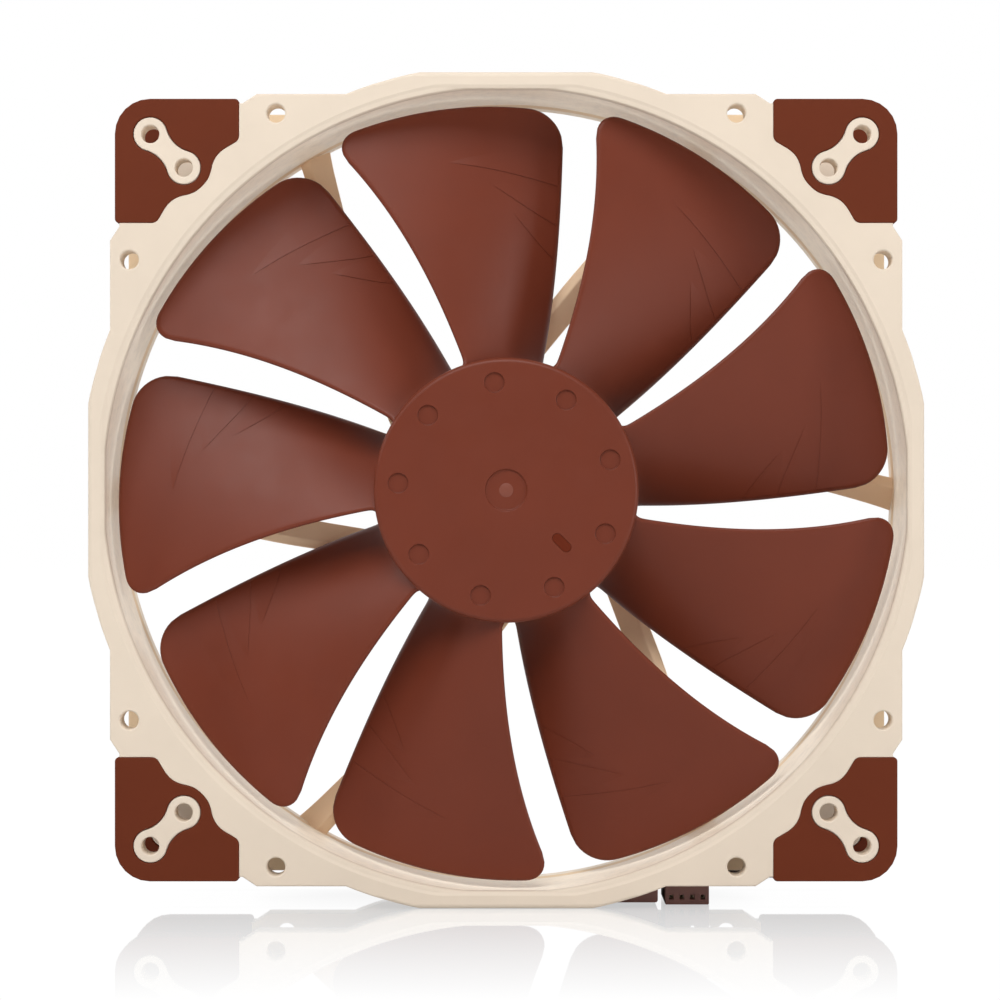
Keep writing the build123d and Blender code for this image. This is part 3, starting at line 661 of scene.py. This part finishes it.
def with_notch(outline):
    """The rear flange's outline, with the notch that the lead leaves by."""
    notch = [
        (NOTCH_LEFT, -sqrt(RING_RADIUS**2 - NOTCH_LEFT**2)), (NOTCH_LEFT, NOTCH_TOP - 1.0),
        (NOTCH_LEFT + 2.2, NOTCH_TOP - 0.2), (NOTCH_RIGHT, NOTCH_TOP),
        (NOTCH_RIGHT, -sqrt(RING_RADIUS**2 - NOTCH_RIGHT**2)),
    ]
    kept = []
    for x, y in outline:
        if y < 0 and NOTCH_LEFT < x < NOTCH_RIGHT and hypot(x, y) > RING_RADIUS - 0.1:
            kept += notch
            notch = []
        else:
            kept.append((x, y))
    return kept


def ring_row(bm, radius, half, depth, count=360):
    """Row round the opening: a circle cut off by four flats."""
    points = []
    for i in range(count):
        angle = 2 * pi * i / count
        reach = min(radius, half / max(abs(cos(angle)), abs(sin(angle))))
        points.append((reach * cos(angle), reach * sin(angle)))
    return loop(bm, points, depth)


MOUNT_RADIUS = 2.2
MOUNT_FAR, MOUNT_NEAR = 90.0, 55.0
mount_places = [
    (side * across, level * up)
    for across, up in ((MOUNT_FAR, MOUNT_NEAR), (MOUNT_NEAR, MOUNT_FAR))
    for side in (1, -1)
    for level in (1, -1)
]


def edge_roundings(outline):
    """How much each point of the outline's edge is rounded: more on the ring's flats, less
    where the face meets a pad."""
    amounts = []
    for x, y in outline:
        reach = hypot(x, y)
        if max(abs(x), abs(y)) > HALF - 0.05:
            amounts.append(FLAT_ROUND)
        elif min(abs(x), abs(y)) > CORNER_START + 0.1:
            amounts.append(SEAM_ROUND)
        elif reach > RING_RADIUS - 0.1 and min(abs(x), abs(y)) < 30:
            amounts.append(EDGE_ROUND + (FLAT_ROUND - EDGE_ROUND) * 0.5)
        else:
            amounts.append(EDGE_ROUND)
    return amounts


def flange_shell(bm, outline, face, towards, step_row, tube_row, windows=()):
    """One flange: its face, edge, back and screw holes. towards points into the frame."""
    back = face + towards * FLANGE
    amounts = edge_roundings(outline)
    rows = []
    for step in range(5):
        angle = radians(90 * step / 4)
        inset = [a * (1 - sin(angle)) for a in amounts]
        depth = [face + towards * a * (1 - cos(angle)) for a in amounts]
        rows.append(loop(bm, offset(outline, inset), depth))
    back_edge = round_edge(0.2, back, -towards)[::-1]
    rows += [loop(bm, offset(outline, inset), depth) for inset, depth in back_edge]
    bridge_all(bm, rows)
    fronts, backs = [], []
    profile = round_edge(EDGE_ROUND, face, towards) + [(0.0, back)]
    for centre in mount_places:
        tunnel = [loop(bm, circle(centre, MOUNT_RADIUS + inset), depth) for inset, depth in profile]
        bridge_all(bm, tunnel)
        fronts.append(tunnel[0])
        backs.append(tunnel[-1])
    for window in windows:
        tunnel = [loop(bm, window, face), loop(bm, window, back)]
        bridge_all(bm, tunnel)
        fronts.append(tunnel[0])
        backs.append(tunnel[-1])
    fill(bm, rows[0], step_row, *fronts)
    fill(bm, rows[-1], tube_row, *backs)


def frame_shell(bm):
    """Both flanges, the tube between them and the opening: a shallow step, a rounded ledge,
    a lip, the duct wall and the rear step."""
    front_rows = [
        ring_row(bm, TUBE_RADIUS, LEDGE_HALF, 0.0),
        ring_row(bm, TUBE_RADIUS - 0.22, LEDGE_HALF - 0.22, 0.05),
        ring_row(bm, TUBE_RADIUS - 0.62, LEDGE_HALF - 0.62, LEDGE_DROP - 0.05),
        ring_row(bm, TUBE_RADIUS - 0.84, LEDGE_HALF - 0.8, LEDGE_DROP),
        ring_row(bm, LIP_RADIUS + 0.75, LIP_HALF + 0.5, LEDGE_DROP + 0.02),
        ring_row(bm, LIP_RADIUS + 0.3, LIP_HALF + 0.2, LEDGE_DROP + 0.16),
        ring_row(bm, LIP_RADIUS + 0.06, LIP_HALF + 0.04, LEDGE_DROP + 0.45),
        ring_row(bm, LIP_RADIUS, LIP_HALF, LEDGE_DROP + 0.8),
        ring_row(bm, LIP_RADIUS, LIP_HALF, LIP_DEPTH - 0.1),
        ring_row(bm, LIP_RADIUS + 0.1, LIP_HALF + 0.1, LIP_DEPTH),
        ring_row(bm, DUCT_FRONT, LEDGE_HALF, LIP_DEPTH),
    ]
    bridge_all(bm, front_rows)
    # The duct wall has a material of its own: a lighter copy of the frame plastic with a painted glow,
    # painted light on a wall that lies in shade.
    wall_steps = 8
    wall_rows = front_rows[-1:]
    for step in range(1, wall_steps + 1):
        share = step / wall_steps
        depth = LIP_DEPTH + (DEPTH - LEDGE_DROP - LIP_DEPTH) * share
        wall_rows.append(ring_row(bm, DUCT_FRONT + (DUCT_REAR - DUCT_FRONT) * share, LEDGE_HALF, depth))
    bridge_all(bm, wall_rows, 1)
    rear_rows = wall_rows[-1:] + [
        ring_row(bm, TUBE_RADIUS - 0.2, LEDGE_HALF + 0.02, DEPTH - LEDGE_DROP),
        ring_row(bm, TUBE_RADIUS, LEDGE_HALF + 0.1, DEPTH),
    ]
    bridge_all(bm, rear_rows)
    tube_rows = [ring_row(bm, TUBE_RADIUS, HALF, depth) for depth in (FLANGE, DEPTH - FLANGE)]
    bridge_all(bm, tube_rows)
    flange_shell(bm, flange_outline, 0.0, 1, front_rows[0], tube_rows[0])
    flange_shell(bm, with_notch(flange_outline), DEPTH, -1, rear_rows[-1], tube_rows[-1], [WINDOW])
    # So do the sides of the flanges that face each other: a lighter, warmer copy of the frame plastic,
    # painted light standing in for light bouncing between the flanges.
    for face in bm.faces:
        depth = (face.calc_center_median().y - front_y) / MM
        if abs(depth - FLANGE) < 0.05 or abs(depth - DEPTH + FLANGE) < 0.05:
            face.material_index = 2


# ---- frame: corners, struts and motor base -----------------------------------------------
BOSS_RADIUS, BOSS_WAIST, BOSS_HOLE = 4.0, 2.5, 2.15
BOSS_OUTER, BOSS_INNER = 85.0, 77.0


def dog_bone():
    """Outline round the two corner holes: round ends and a waist that runs into them."""
    half_span = (BOSS_OUTER - BOSS_INNER) / sqrt(2)
    waist_radius = (half_span**2 + BOSS_WAIST**2 - BOSS_RADIUS**2) / (2 * (BOSS_RADIUS - BOSS_WAIST))
    lean = degrees(atan2(BOSS_WAIST + waist_radius, half_span))
    right = arc((half_span, 0), BOSS_RADIUS, lean - 180, 180 - lean, 18)
    top = arc((0, BOSS_WAIST + waist_radius), waist_radius, -lean, lean - 180, 10)[1:-1]
    half = right + top
    outline = half + turn_points(half, 180)
    middle = (BOSS_OUTER + BOSS_INNER) / 2
    return [(x + middle, y + middle) for x, y in turn_points(outline, 45)]


bone = dog_bone()
core_scallop = [(63.6, 82.6), (66.0, 81.0), (69.8, 75.0), (71.6, 71.6)]
core = (
    [(82.6, 63.6), (CORNER_HALF, 63.6)]
    + arc((CORNER_HALF - CORNER_RADIUS,) * 2, CORNER_RADIUS, 0, 90, 12)
    + [(63.6, CORNER_HALF)]
    + core_scallop
    + mirrored(core_scallop[1:-1])
)


def corner_core(bm, turn, front, rear):
    """The part of a flange inside its pad, and the boss that stands through the pad."""
    prism(bm, turn_points(core, turn), front + PAD_SKIN, rear - PAD_SKIN, 0.05,
          [turn_points(offset(bone, 0.5), turn)], 1)
    holes = [turn_points(circle((reach, reach), BOSS_HOLE, 32), turn) for reach in (BOSS_OUTER, BOSS_INNER)]
    prism(bm, turn_points(bone, turn), front - 0.02, rear + 0.02, 0.3, holes)


STRUT_COUNT, STRUT_FRONT = 6, 24.3
STATIONS = [
    (27.5, 10.2, 16.9), (35.0, 9.2, 15.9), (55.0, 5.8, 13.0),
    (75.0, 1.8, 8.8), (90.0, -2.2, 5.2), (97.6, -4.7, 3.5),
]
WIRE_STRUT_ANGLE, WIRE_HOLE, WIRE_END = -60.0, (23.7, 14.2), (101.6, -1.9)
CHANNEL_WIDTH, CHANNEL_DEPTH = 3.0, 2.6


def strut(bm, angle):
    """One strut: a low sloping face, a ridge and a short high face, blended along its length."""
    rows = []
    for distance, low, high in smooth_line(STATIONS, 6):
        ridge = low + (high - low) * 0.68
        section = rounded(
            [(low, DEPTH, 0.3), (low, DEPTH - 1.6, 0.5), (ridge, STRUT_FRONT, 0.7),
             (high, STRUT_FRONT + 0.6, 0.4), (high, DEPTH, 0.3)],
            4,
        )
        places = turn_points([(distance, across) for across, _ in section], angle)
        rows.append([bm.verts.new(place(x, y, depth)) for (x, y), (_, depth) in zip(places, section)])
    bridge_all(bm, rows)
    bm.faces.new(rows[0])
    bm.faces.new(rows[-1])


def motor_base(bm):
    """Shallow cup with a ledge for the board, a label recess and the bearing tube."""
    profile = [
        (5.2, 7.8, 0.2), (6.8, 7.8, 0.3), (6.8, 27.5, 0.4), (27.0, 27.5, 0.2), (27.0, 25.45, 0.1),
        (29.4, 25.45, 0.1), (29.4, 23.5, 0.2), (31.0, 23.5, 0.3), (31.0, 30.0, 0.8), (25.3, 30.0, 0.2),
        (25.3, 29.6, 0.1), (5.2, 29.6, 0.1),
    ]
    rings = [loop(bm, circle((0, 0), radius, 160), depth) for radius, depth in rounded(profile, 4)]
    bridge_all(bm, rings + rings[:1])


def channel_outline():
    """The wire channel from its hole in the base to the window in the flange."""
    line = [WIRE_HOLE] + [(x, (low + high) / 2) for x, low, high in STATIONS[1:]] + [WIRE_END]
    sides = [[], []]
    for i, (x, y) in enumerate(line):
        before, after = line[max(i - 1, 0)], line[min(i + 1, len(line) - 1)]
        along = Vector((after[0] - before[0], after[1] - before[1])).normalized() * CHANNEL_WIDTH / 2
        sides[0].append((x + along.y, y - along.x))
        sides[1].append((x - along.y, y + along.x))
    return turn_points(sides[0] + sides[1][::-1], WIRE_STRUT_ANGLE)


channel_mesh = bmesh.new()
prism(channel_mesh, channel_outline(), DEPTH - CHANNEL_DEPTH, DEPTH + 1.0, 0.1, steps=1)
channel_cutter = piece(channel_mesh, "channel_cutter", frame_plastic)

shell_mesh = bmesh.new()
frame_shell(shell_mesh)
shell_materials = (frame_plastic, duct_painted_light, inner_painted_bounce)
shell_piece = piece(shell_mesh, "frame_shell", *shell_materials, cutter=channel_cutter)
base_mesh = bmesh.new()
motor_base(base_mesh)
base_piece = piece(base_mesh, "motor_base", strut_painted_light, cutter=channel_cutter)
corners_mesh = bmesh.new()
for turn in range(4):
    corner_core(corners_mesh, 90 * turn, 0.0, FLANGE)
    corner_core(corners_mesh, 90 * turn, DEPTH - FLANGE, DEPTH)
corners_piece = piece(corners_mesh, "frame_corners", frame_plastic)
frame_pieces = [shell_piece, base_piece, corners_piece]
for index in range(STRUT_COUNT):
    strut_mesh = bmesh.new()
    angle = WIRE_STRUT_ANGLE + 360 / STRUT_COUNT * index
    strut(strut_mesh, angle)
    cutter = channel_cutter if index == 0 else None
    frame_pieces.append(piece(strut_mesh, f"strut_{index + 1}", strut_painted_light, cutter=cutter))
bpy.data.objects.remove(channel_cutter)
for part in frame_pieces:
    attach(part, "frame", "frame")

# ---- corner pads ----------------------------------------------------------------------


def pad_wall(turn):
    """The strip of a pad outside the flange's edge."""
    inner = [(CORNER_HALF, PAD_START + 0.05)]
    inner += arc((CORNER_HALF - CORNER_RADIUS,) * 2, CORNER_RADIUS, 0, 90, 12)
    inner += [(PAD_START + 0.05, CORNER_HALF)]
    outer = [p for p in pad_outline if max(p) > CORNER_HALF + 0.02]
    return turn_points(outer + inner[::-1], turn)


corner_names = ["top_right", "top_left", "bottom_left", "bottom_right"]
for side_name, front, rear in (("front", 0.0, FLANGE), ("rear", DEPTH - FLANGE, DEPTH)):
    for index, corner_name in enumerate(corner_names):
        turn = 90 * index
        pad_mesh = bmesh.new()
        hole = turn_points(offset(bone, -0.12), turn)
        outline = turn_points(pad_outline, turn)
        for face, back, towards in (
            (front - PAD_PROUD, front + PAD_SKIN, 1), (rear + PAD_PROUD, rear - PAD_SKIN, -1),
        ):
            profile = round_edge(0.3, face, towards) + [(0.0, back)]
            rows = [loop(pad_mesh, offset(outline, inset), depth) for inset, depth in profile]
            bores = [loop(pad_mesh, offset(hole, -inset), depth) for inset, depth in profile]
            bridge_all(pad_mesh, rows)
            bridge_all(pad_mesh, bores)
            fill(pad_mesh, rows[0], bores[0])
            fill(pad_mesh, rows[-1], bores[-1])
        wall = pad_wall(turn)
        wall_rows = [loop(pad_mesh, wall, depth) for depth in (front + PAD_SKIN, rear - PAD_SKIN)]
        bridge_all(pad_mesh, wall_rows)
        fill(pad_mesh, wall_rows[0])
        fill(pad_mesh, wall_rows[1])
        pad = piece(pad_mesh, f"{side_name}_{corner_name}_pad", pad_rubber)
        attach(pad, "frame", f"pad_{side_name}_{corner_name}")

# ---- impeller -------------------------------------------------------------------
BLADE_COUNT = 9
BLADE_START, ROOT_RADIUS, TIP_RADIUS = 30.6, 31.0, 94.6
TIP_ROUND_LEADING, TIP_ROUND_TRAILING, BLADE_EDGE = 6.8, 8.4, 1.1
HUB_RADIUS, HUB_FRONT, HUB_REAR, HUB_WALL, HUB_ROUND = 31.75, 0.5, 22.5, 1.6, 1.2
MARK_RING, MARK_START = 25.9, 16.3
SLOT_PLACE, SLOT_LENGTH, SLOT_WIDTH, SLOT_ANGLE, SLOT_GAP = (13.3, -12.6), 5.6, 2.6, -45, 0.3


def root_flare(radius):
    """Degrees that a blade's edge turns outwards where it runs into the hub."""
    return degrees(0.7 * exp(-max(0, radius - HUB_RADIUS) / 0.6) / radius)


def leading_angle(radius):
    outward = radius - 33
    return 68.3 + 0.0735 * outward + 0.00112 * outward**2 + root_flare(radius)


def trailing_angle(radius):
    outward = radius - 33
    return 34.1 + 0.155 * outward - 0.0006 * outward**2 - root_flare(radius)


def span_blend(radius, at_root, at_tip):
    share = (radius - ROOT_RADIUS) / (TIP_RADIUS - ROOT_RADIUS)
    return at_root + (at_tip - at_root) * share


def blade_depth(radius, chord_share):
    """Depth of the blade's middle surface: steeper towards the trailing edge."""
    camber = span_blend(radius, 0.35, 0.10)
    rise = chord_share + camber * chord_share * (1 - chord_share)
    leading = span_blend(radius, 3.0, 6.5)
    trailing = span_blend(radius, 20.5, 18.0)
    return trailing + (leading - trailing) * rise


def blade_half(radius, chord_share):
    """Half the blade's thickness away from its rounded edges."""
    full = span_blend(radius, 2.5, 1.6) / 2
    return full * (0.72 + 0.28 * sin(pi * chord_share**0.8))


def tip_limit(from_leading, from_trailing):
    """Radius of the blade's outline, with its two rounded tip corners."""
    limit = TIP_RADIUS
    for distance, corner in ((from_leading, TIP_ROUND_LEADING), (from_trailing, TIP_ROUND_TRAILING)):
        if distance < corner:
            limit -= corner - sqrt(corner**2 - (corner - distance) ** 2)
    return limit


def edge_distance(from_leading, from_trailing, from_tip):
    """Distance inside the rounded outline."""
    distance = min(from_leading, from_trailing, from_tip)
    for aside, corner in ((from_leading, TIP_ROUND_LEADING), (from_trailing, TIP_ROUND_TRAILING)):
        if aside < corner and from_tip < corner:
            distance = min(distance, corner - hypot(corner - aside, corner - from_tip))
    return max(0.0, distance)


def cosine_shares(count):
    return [(1 - cos(pi * i / count)) / 2 for i in range(count + 1)]


def blade_surface(bm, turn):
    """One blade, closed at its outline, open at the root inside the hub wall."""
    chord_rows, span_rows = 48, 72
    columns = [0.35 * i / chord_rows + 0.65 * share for i, share in enumerate(cosine_shares(chord_rows))]
    sheets = []
    tip_chord = radians(leading_angle(90) - trailing_angle(90)) * 92
    for side in (-1, 1):
        sheet = []
        for share in columns:
            limit = tip_limit(tip_chord * (1 - share), tip_chord * share)
            column = []
            for row in range(span_rows + 1):
                even = row / span_rows
                span = even - 0.12 * sin(2 * pi * even)
                radius = BLADE_START + (limit - BLADE_START) * span
                low, high = trailing_angle(radius), leading_angle(radius)
                angle = low + (high - low) * share
                chord = radians(high - low) * radius
                rim = edge_distance(chord * (1 - share), chord * share, TIP_RADIUS - radius)
                if row == span_rows or share in (0, 1):
                    rim = 0.0
                rounding = min(1.0, rim / BLADE_EDGE)
                root = exp(-max(0, radius - HUB_RADIUS) / 0.9)
                half = blade_half(radius, share) + (0.9 if side > 0 else 0.5) * root
                half *= sqrt(1 - (1 - rounding) ** 2)
                depth = blade_depth(radius, share) + side * half
                if radius < HUB_RADIUS + 0.6:
                    depth = max(depth, HUB_FRONT + HUB_ROUND + 0.25)
                x, y = on_circle(radius, angle + turn)
                column.append(bm.verts.new(place(x, y, depth)))
            sheet.append(column)
        sheets.append(sheet)
    for sheet in sheets:
        skin(bm, sheet)


# Feather-like steps near the trailing edge: (apex radius, apex angle past the trailing
# edge, inner radius at the edge, outer radius at the edge), from the tip inwards.
FEATHERS = [(81.3, 20.0, 76.6, 85.7), (75.3, 13.3, 67.0, 76.6), (68.7, 10.0, 58.6, 67.0)]
FEATHER_RAISE, FEATHER_START, FEATHER_END = 0.17, 0.012, 0.985


def feather(bm, turn, apex_radius, apex_angle, inner, outer):
    """One raised scale: a crisp curved step on the hub side, flush on the tip side."""
    along, across = 40, 8
    rows = []
    for i in range(along + 1):
        share = FEATHER_START + (FEATHER_END - FEATHER_START) * i / along
        low = apex_radius + (inner - apex_radius) * (1 - (1 - share) ** 1.5)
        high = apex_radius + (outer - apex_radius) * share
        past = apex_angle * (1 - share)
        raised = FEATHER_RAISE * min(1, share * 6.0)
        row = []
        for j in range(-1, across + 1):
            radius = low + (high - low) * max(0, j) / across
            edge, lead_edge = trailing_angle(radius), leading_angle(radius)
            angle = edge + max(past, degrees(1.0 / radius))
            chord_share = (angle - edge) / (lead_edge - edge)
            depth = blade_depth(radius, chord_share) - blade_half(radius, chord_share)
            depth += 0.25 if j < 0 else -raised * (1 - max(0, j) / across) + 0.012
            x, y = on_circle(radius, angle + turn)
            row.append(bm.verts.new(place(x, y, depth)))
        rows.append(row)
    skin(bm, rows)


def stepped_disc(bm, centre, steps, count=40):
    """Round mark: rows from the outer rim inwards, each (radius, depth), then a flat floor."""
    rows = [loop(bm, circle(centre, radius, count), depth) for radius, depth in steps]
    bridge_all(bm, rows)
    bm.faces.new(rows[-1])
    return rows[0]


def slot_outline(inset, steps=10):
    """The slot in the hub's face, narrower and shorter by inset."""
    half, end = (SLOT_LENGTH - SLOT_WIDTH) / 2, (SLOT_WIDTH - inset) / 2
    ends = arc((half, 0), end, -90, 90, steps) + arc((-half, 0), end, 90, 270, steps)
    return [(x + SLOT_PLACE[0], y + SLOT_PLACE[1]) for x, y in turn_points(ends, SLOT_ANGLE)]


def hub(bm):
    """Hub cup: a rounded rim, a mark in line with each blade, the centre recess and the slot."""
    count = 180
    rim = [
        (HUB_RADIUS - HUB_ROUND * (1 - sin(radians(a))), HUB_FRONT + HUB_ROUND * (1 - cos(radians(a))))
        for a in range(0, 91, 10)
    ]
    profile = rim + [
        (HUB_RADIUS, 6.0), (HUB_RADIUS, 12.0), (HUB_RADIUS, HUB_REAR - 0.3),
        (HUB_RADIUS - 0.3, HUB_REAR), (HUB_RADIUS - HUB_WALL + 0.3, HUB_REAR),
        (HUB_RADIUS - HUB_WALL, HUB_REAR - 0.3), (HUB_RADIUS - HUB_WALL, HUB_FRONT + HUB_WALL),
    ]
    rows = [loop(bm, circle((0, 0), radius, count), depth) for radius, depth in profile]
    bridge_all(bm, rows)
    bm.faces.new(rows[-1])
    marks = []
    mark_steps = [
        (2.54, HUB_FRONT), (2.47, HUB_FRONT + 0.04), (2.3, HUB_FRONT + 0.52), (2.22, HUB_FRONT + 0.56),
    ]
    for index in range(BLADE_COUNT):
        centre = on_circle(MARK_RING, MARK_START + index * 360 / BLADE_COUNT)
        marks.append(stepped_disc(bm, centre, mark_steps))
    centre_steps = [
        (5.2, HUB_FRONT), (5.08, HUB_FRONT + 0.05), (4.82, HUB_FRONT + 0.5), (4.66, HUB_FRONT + 0.56),
        (1.75, HUB_FRONT + 0.56),
    ]
    marks.append(stepped_disc(bm, (0, 0), centre_steps, 64))
    slot_rows = [
        loop(bm, slot_outline(inset), HUB_FRONT + drop)
        for inset, drop in ((0, 0), (0.2, 0.1), (SLOT_GAP, 1.2))
    ]
    bridge_all(bm, slot_rows)
    bm.faces.new(slot_rows[-1])
    marks.append(slot_rows[0])
    fill(bm, rows[0], *marks)


hub_mesh = bmesh.new()
hub(hub_mesh)
hub_piece = piece(hub_mesh, "impeller_hub", impeller_plastic, sharp_angle=28)
stamp_mesh = bmesh.new()
spindle(stamp_mesh, [(1.7, 1.4), (1.7, 1.02), (1.45, 0.94), (1.0, 0.86), (0.5, 0.82)], 48)
stamp_piece = piece(stamp_mesh, "hub_gate_mark", gate_plastic)
# A dark insert almost flush with the hub face inside the slot: painted shade in the recess.
slot_mesh = bmesh.new()
prism(slot_mesh, slot_outline(SLOT_GAP), HUB_FRONT + 0.06, HUB_FRONT + 1.5, 0.05)
slot_piece = piece(slot_mesh, "hub_slot_painted_shade", slot_painted_shade)
blades_mesh = bmesh.new()
feathers_mesh = bmesh.new()
for index in range(BLADE_COUNT):
    blade_surface(blades_mesh, index * 360 / BLADE_COUNT)
    for shape in FEATHERS:
        feather(feathers_mesh, index * 360 / BLADE_COUNT, *shape)
blades_piece = piece(blades_mesh, "impeller_blades", impeller_plastic, sharp_angle=50)
feathers_piece = piece(feathers_mesh, "blade_feathers", impeller_plastic, sharp_angle=25)
for moulding in (hub_piece, stamp_piece, slot_piece, blades_piece, feathers_piece):
    attach(moulding, "rotor", "impeller")

# ---- lead, its heat-shrink and its connector ------------------------------------------------
FLOOR_LEVEL = -100.0
LEAD_ROUTE = [
    (33.0, 21.0, 3.0), (33.2, 30.0, 2.05), (35.0, 40.0, 2.05), (41.0, 51.0, 2.05),
    (52.0, 58.5, 2.05), (67.0, 61.0, 2.05), (82.0, 60.0, 2.05), (93.0, 54.5, 2.05),
    (96.8, 45.3, 2.05), (92.3, 36.3, 2.05), (82.0, 31.8, 2.05), (70.0, 31.3, 2.05),
    (58.0, 32.3, 2.05), (49.0, 29.3, 2.05), (44.3, 22.0, 2.05), (43.7, 14.0, 2.4),
]
lead_curve = bpy.data.curves.new("lead_sleeve", "CURVE")
lead_curve.dimensions = "3D"
lead_line = lead_curve.splines.new("NURBS")
lead_line.points.add(len(LEAD_ROUTE) - 1)
for control, spot in zip(lead_line.points, LEAD_ROUTE):
    control.co = (spot[0] * MM, spot[1] * MM, spot[2] * MM, 1)
lead_line.order_u = 3
lead_line.use_endpoint_u = True
lead_line.resolution_u = 10
lead_curve.bevel_depth = 0.002
lead_curve.bevel_resolution = 8
lead_piece = add_object("lead_sleeve", lead_curve)
lead_curve.materials.append(lead_sleeve)
attach(lead_piece, "frame", "lead")

CONNECTOR_LEFT, CONNECTOR_RIGHT, CONNECTOR_FRONT, CONNECTOR_REAR = 38.4, 49.0, 6.0, 20.0
CONNECTOR_HEIGHT, KEY_HEIGHT, NARROW_KEY, WIDE_KEY = 5.1, 0.7, 1.3, 3.4
CONTACT_PITCH, CONTACT_HEIGHT = 2.54, 1.8
connector_middle = (CONNECTOR_LEFT + CONNECTOR_RIGHT) / 2

shrink_mesh = bmesh.new()
spindle(
    shrink_mesh,
    [(1.7, 19.9), (2.2, 20.0), (2.34, 20.3), (2.34, 24.0), (2.26, 25.2), (2.3, 26.6), (2.22, 28.3),
     (2.1, 28.9), (1.9, 29.0)],
    40,
    (connector_middle, FLOOR_LEVEL + 2.4),
)
shrink_piece = piece(shrink_mesh, "lead_shrink", shrink_tube)
attach(shrink_piece, "frame", "lead_heatshrink")


def rectangle(middle_x, middle_y, across, up):
    return [
        (middle_x - across / 2, middle_y - up / 2), (middle_x + across / 2, middle_y - up / 2),
        (middle_x + across / 2, middle_y + up / 2), (middle_x - across / 2, middle_y + up / 2),
    ]


def connector(bm):
    """Plug housing: two keys of different width on top, four square mouths in its face."""
    top, key_top = FLOOR_LEVEL + CONNECTOR_HEIGHT, FLOOR_LEVEL + CONNECTOR_HEIGHT + KEY_HEIGHT
    narrow, wide = CONNECTOR_LEFT + NARROW_KEY, CONNECTOR_RIGHT - WIDE_KEY
    outline = rounded(
        [(CONNECTOR_LEFT, FLOOR_LEVEL, 0.3), (CONNECTOR_RIGHT, FLOOR_LEVEL, 0.3),
         (CONNECTOR_RIGHT, key_top, 0.25), (wide, key_top, 0.12), (wide, top, 0.1),
         (narrow, top, 0.1), (narrow, key_top, 0.12), (CONNECTOR_LEFT, key_top, 0.25)],
        3,
    )
    profile = round_edge(0.15, CONNECTOR_FRONT, 1) + round_edge(0.15, CONNECTOR_REAR, -1)[::-1]
    rows = [loop(bm, offset(outline, inset), depth) for inset, depth in profile]
    bridge_all(bm, rows)
    mouths = []
    for index in range(4):
        middle = connector_middle + (index - 1.5) * CONTACT_PITCH
        level = FLOOR_LEVEL + CONTACT_HEIGHT
        tunnel = [
            loop(bm, rectangle(middle, level, across, across), CONNECTOR_FRONT + depth)
            for across, depth in ((1.2, 0), (1.0, 0.2), (1.0, 1.2), (1.5, 1.2), (1.5, 11.9))
        ]
        bridge_all(bm, tunnel)
        bm.faces.new(tunnel[-1])
        mouths.append(tunnel[0])
    fill(bm, rows[0], *mouths)
    bm.faces.new(rows[-1])


connector_mesh = bmesh.new()
connector(connector_mesh)
connector_piece = piece(connector_mesh, "connector_shell", connector_plastic)
attach(connector_piece, "frame", "connector_housing")

# ---- CAD nodes that show as they are -----------------------------------------------
NODE_MATERIALS = {
    "shaft_bush": brass, "shaft": steel, "retaining_clip": bearing_polymer,
    "rotor_yoke": yoke_steel, "magnet_ring": magnet_iron, "thrust_magnet": magnet_iron,
    "bearing_shell": brass, "bearing_sleeve": bearing_polymer, "oil_seal": bearing_polymer,
    "bearing_end_cap": brass, "stator_core": core_steel, "insulator_front": dark_plastic,
    "insulator_rear": dark_plastic, "stator_coils": copper, "circuit_board": board,
    "driver_chip": ceramic_chip, "hall_sensor": ceramic_chip, "board_capacitors": ceramic_chip,
    "rear_label": label, "motor_wires": wire_insulation, "cable_grommet": connector_plastic,
    "connector_contacts": contact_metal, "frame": frame_plastic, "impeller": impeller_plastic,
    "lead": lead_sleeve, "lead_heatshrink": shrink_tube, "connector_housing": connector_plastic,
}
for name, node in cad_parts.items():
    node.data.materials.clear()
    node.data.materials.append(NODE_MATERIALS.get(name, pad_rubber))
